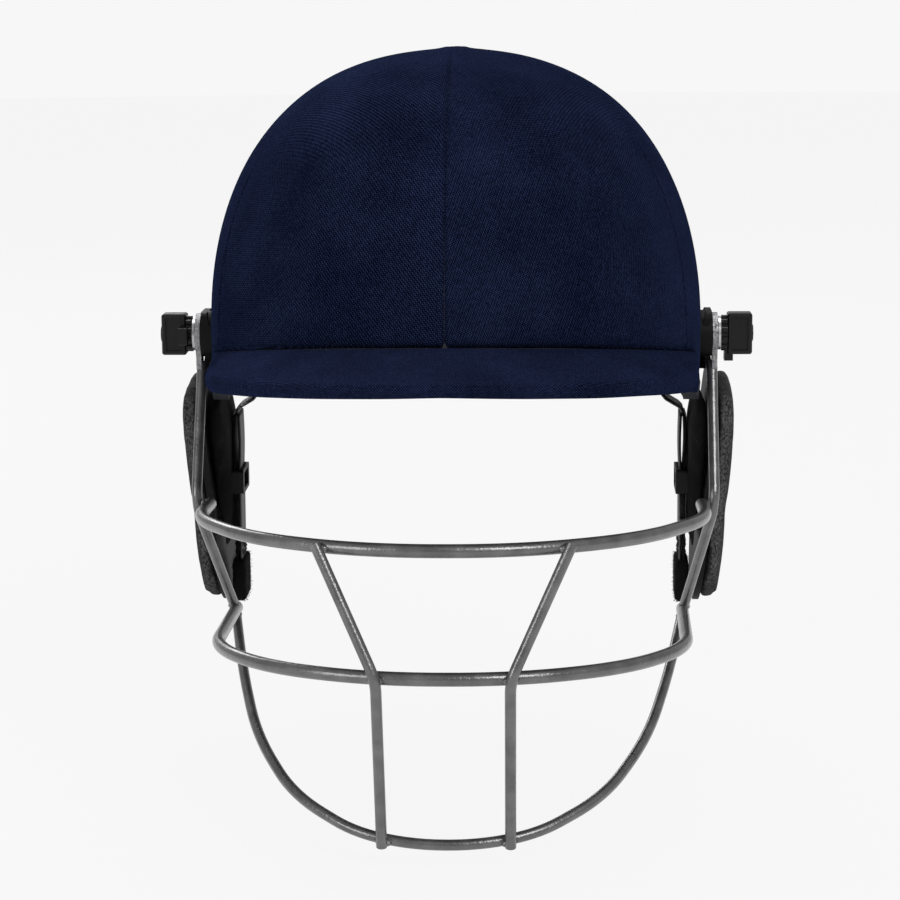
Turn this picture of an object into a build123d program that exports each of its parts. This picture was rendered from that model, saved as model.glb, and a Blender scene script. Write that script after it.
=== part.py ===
from build123d import *
import math
import os

# A cricket helmet with a steel grille, in millimetres.
# The origin is on the mid-plane, on the line through the two thumb screws that hold the grille.
# +Z is up as worn, the face looks along -Y, and +X is the wearer's left.
# Pieces that come in pairs are drawn for the left side and mirrored for the right one.

# The dome, measured to the outside of the cloth
half_width = 102.0
front_reach = 118.0
back_reach = 137.0
crown_height = 117.8
dome_power = 2.32
profile_turns = (0, 12, 25, 38, 50, 61, 71, 80)
base_depth = 58.0

# The layers of the dome, from the outside in
cloth_thickness = 1.0
wall_thickness = 3.4
foam_thickness = 13.0
pad_thickness = 7.0

# The lower edge of the dome, as drops below the thumb screws
brow_drop = 5.0
side_drop = 25.0
nape_drop = 38.0
edge_curve = 16.0
brow_end_share = 0.61
side_start_share = 0.1
side_end_share = 0.38
nape_start_share = 0.66
overrun = 30.0
cover_gap = 0.15

# The moulding on the lower edge, and how far the foam stops above that edge
trim_wall = 0.9
trim_height = 5.0
trim_foot = 1.5
foam_setback = 8.0

# The peak
peak_reach = 156.5
peak_half_width = 99.8
peak_centre = 42.0
peak_end_turn = 72.0
peak_back_share = 0.27
peak_root_height = 9.7
peak_root_start = 115.0
peak_root_slope = 0.159
peak_lip_drop = 3.3
peak_end_droop = 17.0
peak_droop_power = 1.4
peak_lip_height = 5.4
peak_end_lip_height = 13.0
peak_plate = 6.4
peak_flange = 3.2
peak_bury = 14.0
peak_sections = 9
peak_flange_share = 0.35
peak_nose_share = 0.45
peak_round_share = 0.42
peak_screw_turns = (-48.0, -17.0, 17.0, 48.0)
peak_screw_diameter = 2.6
peak_screw_head = 6.5
peak_screw_head_height = 1.4
peak_screw_grip = 2.6
peak_screw_below = 3.2
screw_fit = 0.1

# The pads inside
brow_pad_half_width = 66.0
brow_pad_height = 34.0
crown_pad_radius = 44.0
crown_pad_hole = 11.0
side_pad_front = 30.0
side_pad_back = 42.0
side_pad_height = 38.0
side_pad_floor = 4.0
nape_pad_half_width = 50.0
nape_pad_height = 34.0
pad_setback = 3.0

# The stack on the thumb screw, from the cloth outward
boss_face = 106.7
stack_gap = 0.3
plate_thickness = 2.1
washer_thickness = 1.0
washer_diameter = 14.0
screw_diameter = 6.0
screw_hole_fit = 0.3
washer_fit = 0.15
thread_fit = 0.08
insert_barrel = 9.0
insert_flange = 18.0
insert_flange_thickness = 1.4
insert_fit = 0.1
screw_tip_past = 1.2

# The thumb knob
knob_hub_diameter = 12.4
knob_hub_length = 2.4
knob_length = 10.4
knob_height = 17.2
knob_depth = 8.6
knob_corner = 1.1
knob_edge = 0.7
knob_recess = 0.9
knob_rim = 1.7
knob_cap_diameter = 7.0
knob_cap_rise = 0.5
knob_lug_reach = 11.4
knob_lug_width = 7.0
knob_lug_start = 1.3
knob_lug_length = 3.6
knob_lug_turns = (0.0, -90.0)
knob_teeth = 10
knob_tooth_diameter = 2.6

# The pivot plate of the grille
eye_radius = 8.6
tongue_half_width = 4.2
tongue_neck = 9.6
tongue_end = 15.2
tongue_corner = 1.6

# The wires of the grille
bar_diameter = 5.3
wire_diameter = 4.3
bend_share = 0.47
arch_spans = 6

side_wire_x = 107.1
side_wire_top = 12.2
side_bend_forward = 30.0
side_bend_drop = 68.0
side_bend_radius = 14.0

top_bar_height = 61.4
top_bar_slope = 0.0575
top_bar_reach = 115.0
top_bar_centre = 35.0
top_bar_tail = 22.0

jaw_half_width = 96.0
jaw_back = 8.0
jaw_drop = 120.7
middle_bar_half_width = 94.0
middle_bar_reach = 92.0
middle_bar_centre = 60.0
middle_bar_slope = 0.0675
middle_bar_tail = 4.0

chin_reach = 143.2
chin_slope = 0.411
chin_width_shares = (1.0, 0.922, 0.818, 0.634, 0.367, 0.125)
chin_reach_shares = (0.0, 0.293, 0.573, 0.81, 0.955, 1.0)

strut_top_x = 45.0
strut_middle_x = 24.0
strut_chin_x = 23.6
strut_top_overhang = 1.8
strut_chin_overhang = 2.0
strut_bend_radius = 16.0
weld_sink = 0.12

# The ear guard, a moulded plate between two pads
guard_thickness = 2.6
guard_wrap = 2.4
guard_wrap_from = 30.0
guard_back = 78.0
guard_bottom = 121.0
guard_boss_radius = 9.6
guard_rim_back_shares = (0.10, 0.34, 0.58, 0.83, 0.97, 1.0, 0.92, 0.68, 0.33, 0.16, 0.10)
guard_rim_drop_shares = (0.2, 0.165, 0.18, 0.27, 0.43, 0.6, 0.82, 0.985, 0.985, 0.83, 0.5)
guard_middle_back_share = 0.55
guard_middle_drop_share = 0.58
neck_corner = 3.0
neck_front = 5.8
neck_drop = 11.0
neck_side = 7.7
neck_under = 3.8
neck_back = 51.5
neck_back_drop = 28.6
neck_foot = 9.0
neck_foot_drop = 37.4
guard_height_shares = (-0.083, 0.088, 0.17, 0.3, 0.43, 0.56, 0.66, 0.76, 0.88, 1.0)
guard_out_shares = (0.0, 0.0, 0.6, 0.9, 0.8, 0.42, 0.05, -0.1, -0.45, -0.9)
guard_flare = 3.4
outer_pad_thickness = 7.8
outer_pad_end_thickness = 7.0
outer_pad_top = 19.2
outer_pad_gap = 0.4
inner_pad_face = 99.9
inner_pad_top = 28.0
inner_pad_bottom = 99.0
pad_edge_gap = 4.0

# The chin straps, opened and hanging at each side
strap_y = 34.0
strap_pivot_drop = 14.0
strap_width = 18.0
strap_thickness = 1.6
strap_doubled = 3.3
strap_clearance = 2.0
strap_notch_depth = 40.0
strap_notch_width = 47.0
strap_notch_height = 34.0
strap_x = 96.2
strap_top_over = 8.0
strap_leave_drop = 31.2
strap_join_drop = 36.5
strap_double_drop = 38.0
strap_end_drop = 103.0
strap_rivet_diameter = 4.0
strap_rivet_head = 9.0
strap_rivet_head_height = 1.6
head_round_share = 0.7
strap_eyelet_diameter = 8.4
strap_boss_radius = 6.0
running_fit = 0.1
tab_width = 22.0
tab_thickness = 6.6
tab_top_drop = 102.0
tab_bottom_drop = 121.5
tab_corner = 2.4
slider_drop = 68.0
slider_height = 10.6
slider_wall = 0.9
slider_rail = 2.0
slider_gap = 0.35
slider_round_share = 0.8
slider_mouth_share = 0.8


# Helpers for the dome

def profile_radius(inset, height):
    """Half-width of the dome's mid section at a height, a number of millimetres inside the cloth."""
    share = abs(height) / (crown_height - inset)
    return (half_width - inset) * (1 - share ** dome_power) ** (1 / dome_power)


def dome_x(inset, y, z):
    """Half-width of a layer of the dome at a point y, z."""
    reach = (back_reach if y > 0 else front_reach) - inset
    level = profile_radius(inset, z) / (half_width - inset)
    return (half_width - inset) * math.sqrt(level ** 2 - (y / reach) ** 2)


def dome(inset):
    """Everything inside one layer of the dome, from its flat base to the crown."""
    wide = half_width - inset
    high = crown_height - inset
    outline = [(profile_radius(inset, -base_depth), -base_depth)]
    outline.append((profile_radius(inset, -base_depth / 2), -base_depth / 2))
    for turn in profile_turns:
        across = wide * math.cos(math.radians(turn)) ** (2 / dome_power)
        outline.append((across, high * math.sin(math.radians(turn)) ** (2 / dome_power)))
    outline.append((0, high))
    curve = Spline(*outline)
    foot = Line((0, -base_depth), outline[0])
    spine = Line((0, high), (0, -base_depth))
    section = Plane.XZ * make_face([foot, curve, spine])
    back_half = revolve(section, Axis.Z, 180)
    front_half = back_half.mirror(Plane.XZ)
    back_scaled = scale(back_half, by=(1, (back_reach - inset) / wide, 1), about=(0, 0, 0))
    front_scaled = scale(front_half, by=(1, (front_reach - inset) / wide, 1), about=(0, 0, 0))
    skins = []
    for half in (back_scaled, front_scaled):
        for face in half.faces():
            if abs(face.center(CenterOf.BOUNDING_BOX).Y) > cloth_thickness:
                skins.append(face)
    return Solid(Shell(skins))


def below_edge(lift):
    """The space under the dome's lower edge, raised by a lift."""
    corners = [
        (-front_reach - overrun, lift - brow_drop),
        (-front_reach * brow_end_share, lift - brow_drop),
        (-front_reach * side_start_share, lift - side_drop),
        (back_reach * side_end_share, lift - side_drop),
        (back_reach * nape_start_share, lift - nape_drop),
        (back_reach + overrun, lift - nape_drop),
    ]
    edge = FilletPolyline(*corners, radius=edge_curve)
    deep = -base_depth - overrun
    rest = Polyline(corners[-1], (back_reach + overrun, deep), (-front_reach - overrun, deep), corners[0])
    face = Plane.YZ * make_face(edge.edges() + rest.edges())
    return extrude(face, half_width + overrun, both=True)


def along_x(radius, start, end, y=0.0, z=0.0):
    """A round bar along X between two places."""
    bar = extrude(Plane.YZ * Circle(radius), end - start)
    return Pos(start, y, z) * bar


def one_solid(shape):
    """The largest solid of a shape, without the crumbs that a cut can leave."""
    found = shape.solids()
    return max(found, key=lambda item: item.volume) if len(found) > 1 else found[0]


def mirrored(shape):
    return shape.mirror(Plane.YZ)


# Helpers for bent wire

def bent_path(points, radii=None):
    """Straight runs joined by tangent arcs, as large as the runs allow where none is given."""
    places = [Vector(*point) for point in points]
    fitted = []
    for before, here, after in zip(places, places[1:], places[2:]):
        turn = math.radians((here - before).get_angle(after - here))
        shorter = min((here - before).length, (after - here).length)
        fitted.append(bend_share * shorter / math.tan(turn / 2))
    if radii:
        fitted = [min(wanted, most) for wanted, most in zip(radii, fitted)]
    return FilletPolyline(*places, radius=fitted)


def wire(path, diameter):
    start = Plane(origin=path @ 0, z_dir=path % 0)
    return sweep(start * Circle(diameter / 2), path=path)


def arch(half, reach, centre, height_at, tail):
    """Corners of a bar that runs round the front as half an ellipse, with straight tails."""
    corners = [(-half, tail)]
    step = math.pi / arch_spans
    for span in range(arch_spans):
        middle = math.pi + (span + 0.5) * step
        stretch = 1 / math.cos(step / 2)
        corners.append((half * stretch * math.cos(middle), reach * stretch * math.sin(middle) - centre))
    corners.append((half, tail))
    return [(x, y, height_at(y)) for x, y in corners]


def crossing(path, x):
    """The place on the left half of a bar at a given x, and the way that faces out there."""
    low, high = 0.5, 1.0
    for _ in range(40):
        middle = (low + high) / 2
        if (path @ middle).X < x:
            low = middle
        else:
            high = middle
    along = path % low
    return path @ low, Vector(along.Y, -along.X, 0).normalized()


# The grille's heights

def top_bar_z(y):
    front = -top_bar_centre - top_bar_reach
    return -top_bar_height - (y - front) * top_bar_slope


def middle_bar_z(y):
    return -jaw_drop - (y - jaw_back) * middle_bar_slope


def chin_bar_z(y):
    return -jaw_drop - (jaw_back - y) * chin_slope


# The layers of the dome

cloth_inset = cloth_thickness
foam_inset = cloth_inset + wall_thickness
pad_inset = foam_inset + foam_thickness
head_inset = pad_inset + pad_thickness

dome_cloth = dome(0)
dome_wall = dome(cloth_inset)
dome_foam = dome(foam_inset)
dome_pad = dome(pad_inset)
dome_head = dome(head_inset)
under_edge = below_edge(0)


# The peak: sections in upright planes round the front, lofted

def peak_root_z(y):
    return peak_root_height - peak_root_slope * (y + peak_root_start)


def plan_radius(turn, half, reach, centre):
    """Distance from the origin to an ellipse in plan, along a direction turned from the front."""
    across = math.sin(turn) / half
    ahead = math.cos(turn) / reach
    offset = centre / reach
    square = across ** 2 + ahead ** 2
    linear = -2 * ahead * offset
    constant = offset ** 2 - 1
    return (-linear + math.sqrt(linear ** 2 - 4 * square * constant)) / (2 * square)


def peak_section(turn_degrees, inset):
    """One upright section of the peak, a number of millimetres inside its cloth."""
    turn = math.radians(turn_degrees)
    part_way = abs(turn_degrees) / peak_end_turn
    root = plan_radius(turn, half_width, front_reach, 0)
    lip = plan_radius(turn, peak_half_width, peak_reach - peak_centre, peak_centre)
    lip = max(lip, root + 2 * cloth_thickness) - inset
    root_z = peak_root_z(-root * math.cos(turn)) - inset
    lip_z = -peak_lip_drop - peak_end_droop * part_way ** peak_droop_power + inset
    lip_high = peak_lip_height + (peak_end_lip_height - peak_lip_height) * part_way ** 2 - 2 * inset
    rise = (root_z - peak_plate + 2 * inset - lip_z) * math.cos(part_way * math.pi / 2)
    flange = min(peak_flange - inset, (lip - root) * peak_flange_share)
    lip_middle = lip_z + lip_high / 2
    round_in = min(lip_high * peak_round_share, (lip - root) * peak_nose_share)
    top = Line((root - peak_bury, root_z), (root, root_z))
    slope = Line((root, root_z), (lip - round_in, lip_z + lip_high))
    nose = ThreePointArc((lip - round_in, lip_z + lip_high), (lip, lip_middle), (lip - round_in, lip_z))
    under = Line((lip - round_in, lip_z), (root + flange, lip_z + rise))
    foot = Line((root + flange, lip_z + rise), (root - peak_bury, lip_z))
    back = Line((root - peak_bury, lip_z), (root - peak_bury, root_z))
    upright = Plane(origin=(0, 0, 0), x_dir=(math.sin(turn), -math.cos(turn), 0),
                    z_dir=(-math.cos(turn), -math.sin(turn), 0))
    return upright * make_face([top, slope, nose, under, foot, back])


def peak_body(inset):
    last = peak_sections - 1
    end = peak_end_turn
    turns = [end * (2 * index / last - 1) for index in range(peak_sections)]
    return loft([peak_section(turn, inset) for turn in turns])


def peak_screw(turn_degrees, radius_add):
    """A screw from inside the wall into the peak's root, or its hole."""
    turn = math.radians(turn_degrees)
    root = plan_radius(turn, half_width, front_reach, 0)
    z = peak_root_z(-root * math.cos(turn)) - peak_screw_below
    way = Vector(math.sin(turn), -math.cos(turn), 0)
    level = profile_radius(foam_inset, z) / (half_width - foam_inset)
    wall = plan_radius(turn, half_width - foam_inset, front_reach - foam_inset, 0) * level
    seat = Plane(origin=way * wall + Vector(0, 0, z), z_dir=way)
    length = wall_thickness + peak_screw_grip
    shank = extrude(seat * Circle(peak_screw_diameter / 2 + radius_add), length, both=True)
    head = extrude(seat.offset(wall_thickness / 2) * Circle(peak_screw_head / 2 + radius_add),
                   -peak_screw_head_height - radius_add - wall_thickness / 2)
    return shank, head, seat


peak_grown = peak_body(0)
peak_inner = peak_body(cloth_thickness)
peak_holes = []
peak_screws = []
foam_pockets = []
for turn in peak_screw_turns:
    shank, head, seat = peak_screw(turn, 0)
    far = extrude(seat.offset(-peak_screw_head_height) * Circle(peak_screw_head),
                  -wall_thickness - peak_screw_grip)
    peak_screws.append(one_solid((head & dome_foam) + (shank - far)))
    hole, pocket, seat = peak_screw(turn, screw_fit)
    peak_holes.append(hole)
    foam_pockets.append(pocket + far)

peak_core = one_solid(peak_inner - dome_wall - peak_holes)
peak_cloth = one_solid(peak_grown - peak_inner - dome_cloth)

# The cloth stops where the top of the peak meets the dome
brow_corners = [
    (-front_reach - overrun, peak_root_z(-front_reach - overrun)),
    (-front_reach * peak_back_share, peak_root_z(-front_reach * peak_back_share)),
    (-front_reach * peak_back_share, -base_depth - overrun),
    (-front_reach - overrun, -base_depth - overrun),
]
under_peak = extrude(Plane.YZ * make_face(Polyline(*brow_corners, close=True)),
                     half_width + overrun, both=True)

# The thumb screw's hole and insert
insert_hole = along_x(insert_barrel / 2 + insert_fit, pad_thickness, half_width + overrun)
flange_pocket = along_x(insert_flange / 2 + insert_fit,
                        dome_x(foam_inset, 0, 0) - insert_flange_thickness - insert_fit - wall_thickness,
                        half_width)
insert_inner = dome_x(foam_inset, 0, 0) - insert_flange_thickness
insert_left = along_x(insert_flange / 2, insert_inner, half_width) & dome_foam
insert_left = insert_left + (along_x(insert_barrel / 2, insert_inner, half_width) & dome_cloth)
insert_left = insert_left - along_x(screw_diameter / 2 + thread_fit, 0, half_width + overrun)
insert_left = one_solid(insert_left)

# The strap rivet's place
rivet_at = {"y": strap_y, "z": -strap_pivot_drop}
rivet_hole = along_x(strap_rivet_diameter / 2 + screw_fit, pad_thickness, half_width + overrun, **rivet_at)
wall_inside = dome_x(foam_inset, strap_y, -strap_pivot_drop)
trim_face = dome_x(foam_inset + trim_wall, strap_y + strap_width / 2, -side_drop)
strap_top_x = trim_face - strap_clearance - strap_thickness / 2
strap_notch = Pos(wall_inside + pad_thickness, strap_y, -strap_pivot_drop) * Box(
    strap_notch_depth, strap_notch_width, strap_notch_height)

side_holes = [insert_hole, rivet_hole, mirrored(insert_hole), mirrored(rivet_hole)]
outer_wall = one_solid(dome_wall - dome_foam - under_edge - side_holes - peak_holes)

cloth_skin = dome_cloth - dome_wall - under_edge - under_peak - side_holes
cover_knife = Pos(-half_width, 0, 0) * Box(2 * half_width + cover_gap, 4 * back_reach, 4 * crown_height)
cloth_cover_left = one_solid(cloth_skin - cover_knife)
cloth_cover_right = mirrored(cloth_cover_left)

# The edge moulding is a channel over the wall and the cloth
trim_outside = dome(-trim_wall)
trim_inside = dome(foam_inset + trim_wall)
trim_band = trim_outside - trim_inside - below_edge(-trim_foot)
trim_band = trim_band & below_edge(trim_height)
trim_channel = trim_band - ((dome_cloth - dome_foam) - under_edge)
edge_trim = one_solid(trim_channel - peak_grown)

foam_cuts = [below_edge(foam_setback), strap_notch, mirrored(strap_notch)]
foam_cuts += [flange_pocket, mirrored(flange_pocket)] + foam_pockets
foam_liner = one_solid(dome_foam - dome_pad - foam_cuts)


# The comfort pads lie on the foam
pad_floor = below_edge(foam_setback + pad_setback)
pad_layer = dome_pad - dome_head - pad_floor


def block(x_low, x_high, y_low, y_high, z_low, z_high):
    middle = ((x_low + x_high) / 2, (y_low + y_high) / 2, (z_low + z_high) / 2)
    return Pos(*middle) * Box(x_high - x_low, y_high - y_low, z_high - z_low)


brow_pad = one_solid(pad_layer & block(-brow_pad_half_width, brow_pad_half_width, -front_reach, 0,
                                       -brow_drop, brow_pad_height))
crown_ring = Cylinder(crown_pad_radius, crown_height, align=(Align.CENTER, Align.CENTER, Align.MIN))
crown_eye = Cylinder(crown_pad_hole, crown_height, align=(Align.CENTER, Align.CENTER, Align.MIN))
crown_pad = one_solid(pad_layer & (crown_ring - crown_eye))
side_pad_left = one_solid(pad_layer & block(half_width / 2, half_width, -side_pad_front, side_pad_back,
                                            -side_pad_floor, side_pad_height))
nape_pad = one_solid(pad_layer & block(-nape_pad_half_width, nape_pad_half_width,
                                       back_reach / 2, back_reach,
                                       -nape_drop, nape_pad_height - nape_drop / 2))


# The ear guard: a curved band, cut to its outline from the side

guard_x = boss_face - guard_thickness / 2


def guard_shift(y):
    """How far the guard turns in towards the head at a place along its length."""
    past = max(0.0, y - guard_wrap_from) / (guard_back - guard_wrap_from)
    return guard_wrap * past ** 2


def guard_band(inner, outer):
    """A curved band between two offsets from the guard's middle line, lofted from front to back."""
    faces = []
    for y in (-2 * guard_boss_radius, 0, guard_wrap_from, (guard_wrap_from + guard_back) / 2,
              guard_back + guard_boss_radius):
        lines = []
        for offset in (inner, outer):
            points = []
            for height_share, out_share in zip(guard_height_shares, guard_out_shares):
                x = guard_x + guard_flare * out_share - guard_shift(y) + offset(height_share)
                points.append((x, -guard_bottom * height_share))
            lines.append(points)
        near, far = lines
        edges = [Spline(*near), Line(near[-1], far[-1]), Spline(*reversed(far)), Line(far[0], near[0])]
        upright = Plane(origin=(0, y, 0), x_dir=(1, 0, 0), z_dir=(0, -1, 0))
        faces.append(upright * make_face(edges))
    return loft(faces)


def guard_rim(gap):
    """The guard's outline from the side, drawn in by a gap, as a solid that reaches through everything."""
    middle = Vector(guard_back * guard_middle_back_share, -guard_bottom * guard_middle_drop_share)
    places = []
    for back, drop in zip(guard_rim_back_shares, guard_rim_drop_shares):
        place = Vector(guard_back * back, -guard_bottom * drop)
        places.append(place - (place - middle).normalized() * gap)
    return extrude(Plane.YZ * make_face(Spline(*places, periodic=True)), half_width + overrun)


half_plate = guard_thickness / 2
plate_band = guard_band(lambda share: -half_plate, lambda share: half_plate)
neck_corners = [
    (-guard_boss_radius, guard_boss_radius), (guard_boss_radius, guard_boss_radius),
    (strap_y + strap_boss_radius, -strap_pivot_drop + strap_boss_radius),
    (neck_back, -neck_back_drop), (neck_foot, -neck_foot_drop), (neck_front, -neck_drop),
    (-neck_side, -neck_under),
]
neck_outline = FilletPolyline(*neck_corners, radius=neck_corner, close=True)
neck = extrude(Plane.YZ * make_face(neck_outline.edges()), half_width + overrun)
guard_area = guard_rim(0) + neck
guard_bosses = along_x(guard_boss_radius, pad_inset, boss_face) - dome_cloth
strap_boss = along_x(strap_boss_radius, wall_inside, boss_face, **rivet_at) - dome_cloth
ear_guard_plate = (plate_band & guard_area) - trim_outside + [guard_bosses, strap_boss]
ear_guard_plate = ear_guard_plate - along_x(screw_diameter / 2 + screw_hole_fit, 0, half_width + overrun)
rivet_seat = along_x(strap_rivet_head / 2 + stack_gap, boss_face, half_width + overrun, **rivet_at)
ear_guard_plate_left = one_solid(ear_guard_plate - rivet_hole - rivet_seat)


def outer_pad_offset(share):
    thinning = (outer_pad_thickness - outer_pad_end_thickness) * max(0.0, share)
    return half_plate + outer_pad_thickness - thinning


def inner_pad_offset(share):
    return -half_plate


pad_top_cut = block(0, half_width + overrun, -overrun, guard_back + overrun, -outer_pad_top, overrun)
outer_band = guard_band(lambda share: half_plate, outer_pad_offset)
outer_rim = guard_rim(outer_pad_gap)
ear_outer_pad_left = one_solid((outer_band & outer_rim) - pad_top_cut)
inner_fill = guard_band(lambda share: inner_pad_face - guard_x - 2 * guard_flare, inner_pad_offset)
inner_cut = block(0, half_width + overrun, -overrun, guard_back + overrun, -inner_pad_top, overrun)
inner_foot = block(0, half_width + overrun, -overrun, guard_back + overrun,
                   -2 * guard_bottom, -inner_pad_bottom)
inner_side = block(0, inner_pad_face, -overrun, guard_back + overrun, -2 * guard_bottom, overrun)
inner_rim = guard_rim(pad_edge_gap)
ear_inner_pad_left = one_solid((inner_fill & inner_rim) - inner_cut - inner_foot - inner_side)


# The strap, its rivet and its fittings

rivet_end = strap_top_x - strap_thickness / 2 - stack_gap
strap_rivet = along_x(strap_rivet_diameter / 2, rivet_end, boss_face, **rivet_at)
rivet_outer_head = along_x(strap_rivet_head / 2, boss_face, boss_face + strap_rivet_head_height, **rivet_at)
rivet_rim = rivet_outer_head.edges().sort_by(Axis.X)[-1:]
rivet_outer_head = fillet(rivet_rim, strap_rivet_head_height * head_round_share)
rivet_inner_head = along_x(strap_rivet_head / 2, rivet_end - strap_rivet_head_height, rivet_end, **rivet_at)
strap_rivet_left = one_solid(strap_rivet + rivet_outer_head + rivet_inner_head)

collar_start = strap_top_x + strap_thickness / 2 + stack_gap
strap_collar = along_x(strap_rivet_head / 2, collar_start, half_width, **rivet_at) & dome_foam
strap_collar = strap_collar - along_x(strap_rivet_diameter / 2 + screw_fit, 0, half_width, **rivet_at)
strap_collar_left = one_solid(strap_collar)

half_strap = strap_thickness / 2
strap_line = [
    (strap_top_x, strap_top_over - strap_pivot_drop),
    (strap_top_x, -strap_leave_drop),
    (strap_x, -strap_join_drop),
    (strap_x, -strap_end_drop),
]
strap_face = [(x - half_strap, z) for x, z in strap_line]
strap_face += [(x + half_strap, z) for x, z in reversed(strap_line)]
strap_plane = Plane(origin=(0, strap_y, 0), x_dir=(1, 0, 0), z_dir=(0, -1, 0))
strap_band = extrude(strap_plane * make_face(Polyline(*strap_face, close=True)), strap_width / 2, both=True)
doubled_part = block(strap_x - strap_doubled / 2, strap_x + strap_doubled / 2,
                     strap_y - strap_width / 2, strap_y + strap_width / 2, -strap_end_drop, -strap_double_drop)
eyelet_hole = along_x(strap_eyelet_diameter / 2, 0, half_width, **rivet_at)
tab = block(strap_x - tab_thickness / 2, strap_x + tab_thickness / 2,
            strap_y - tab_width / 2, strap_y + tab_width / 2, -tab_bottom_drop, -tab_top_drop)
tab = fillet(tab.edges(), tab_corner)
strap_core = strap_band + doubled_part - eyelet_hole
tab_left = one_solid(tab - strap_core)
strap_left = one_solid(strap_core)
eyelet = along_x(strap_eyelet_diameter / 2, strap_top_x - half_strap, strap_top_x + half_strap, **rivet_at)
eyelet = eyelet - along_x(strap_rivet_diameter / 2 + running_fit, 0, half_width, **rivet_at)
strap_eyelet_left = one_solid(eyelet)

slider_inner_x = strap_doubled + 2 * slider_gap
slider_inner_y = strap_width + 2 * slider_gap
slider = Box(slider_inner_x + 2 * slider_wall, slider_inner_y + 2 * slider_rail, slider_height)
slider = fillet(slider.edges().filter_by(Axis.X), slider_rail * slider_round_share)
slider_window = Box(slider_inner_x, slider_inner_y, 2 * slider_height)
slider_mouth = Box(3 * slider_inner_x, slider_inner_y * slider_mouth_share,
                   slider_height - 4 * slider_wall)
strap_slider_left = Pos(strap_x, strap_y, -slider_drop) * (slider - slider_window - slider_mouth)


# The grille

plate_near = boss_face + stack_gap
plate_far = plate_near + plate_thickness

eye = along_x(eye_radius, plate_near, plate_far)
tongue_sides = [
    (-eye_radius, 0), (eye_radius, 0), (tongue_half_width, -tongue_neck), (tongue_half_width, -tongue_end),
    (-tongue_half_width, -tongue_end), (-tongue_half_width, -tongue_neck),
]
tongue = extrude(Plane.YZ * make_face(Polyline(*tongue_sides, close=True)), plate_thickness)
tongue_tips = tongue.edges().filter_by(Axis.X).sort_by(Axis.Z)[:2]
pivot_plate = eye + Pos(plate_near, 0, 0) * fillet(tongue_tips, tongue_corner)
pivot_plate = pivot_plate - along_x(screw_diameter / 2 + screw_hole_fit, 0, half_width + overrun)

side_points = [
    (side_wire_x, 0, -side_wire_top),
    (side_wire_x, -side_bend_forward, -side_bend_drop),
    (jaw_half_width, jaw_back, -jaw_drop),
]
side_path = bent_path(side_points, [side_bend_radius])
top_path = bent_path(arch(side_wire_x - (bar_diameter + wire_diameter) / 2, top_bar_reach, top_bar_centre,
                          top_bar_z, -top_bar_tail))
middle_route = arch(middle_bar_half_width, middle_bar_reach, middle_bar_centre, middle_bar_z,
                    -middle_bar_centre)
middle_route[0] = (-jaw_half_width, jaw_back + middle_bar_tail, middle_bar_z(jaw_back + middle_bar_tail))
middle_route[-1] = (jaw_half_width, jaw_back + middle_bar_tail, middle_bar_z(jaw_back + middle_bar_tail))
middle_path = bent_path(middle_route)
chin_half = [(jaw_half_width * wide, jaw_back - chin_reach * ahead)
             for wide, ahead in zip(chin_width_shares, chin_reach_shares)]
chin_plan = [(-x, y) for x, y in chin_half] + list(reversed(chin_half))
chin_path = bent_path([(x, y, chin_bar_z(y)) for x, y in chin_plan])

side_rod = wire(side_path, wire_diameter)
middle_bar = wire(middle_path, bar_diameter)
side_wire_left = one_solid(side_rod - middle_bar - pivot_plate)
top_bar = one_solid(wire(top_path, bar_diameter) - side_rod - mirrored(side_rod))
chin_rod = wire(chin_path, wire_diameter)
chin_bar = one_solid(chin_rod - middle_bar - side_wire_left - mirrored(side_wire_left))
pivot_plate_left = one_solid(pivot_plate)

strut_stand = (bar_diameter + wire_diameter) / 2 - weld_sink
chin_stand = wire_diameter - weld_sink
top_place, top_way = crossing(top_path, strut_top_x)
middle_place, middle_way = crossing(middle_path, strut_middle_x)
chin_place, chin_way = crossing(chin_path, strut_chin_x)
strut_top = top_place + top_way * strut_stand
strut_middle = middle_place + middle_way * strut_stand
strut_chin = chin_place + chin_way * chin_stand
strut_start = strut_top + (strut_top - strut_middle).normalized() * strut_top_overhang
strut_end = strut_chin + (strut_chin - strut_middle).normalized() * strut_chin_overhang
strut_path = bent_path([strut_start, strut_middle, strut_end], [strut_bend_radius])
strut_left = one_solid(wire(strut_path, wire_diameter) - top_bar - middle_bar - chin_bar)


# The washer and the thumb screw

washer_near = plate_far + stack_gap
washer_far = washer_near + washer_thickness
washer_left = one_solid(along_x(washer_diameter / 2, washer_near, washer_far)
                        - along_x(screw_diameter / 2 + washer_fit, 0, half_width + overrun))

hub_near = washer_far + stack_gap
paddle_near = hub_near + knob_hub_length
paddle_far = paddle_near + knob_length
screw_tip = insert_inner - screw_tip_past


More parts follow.
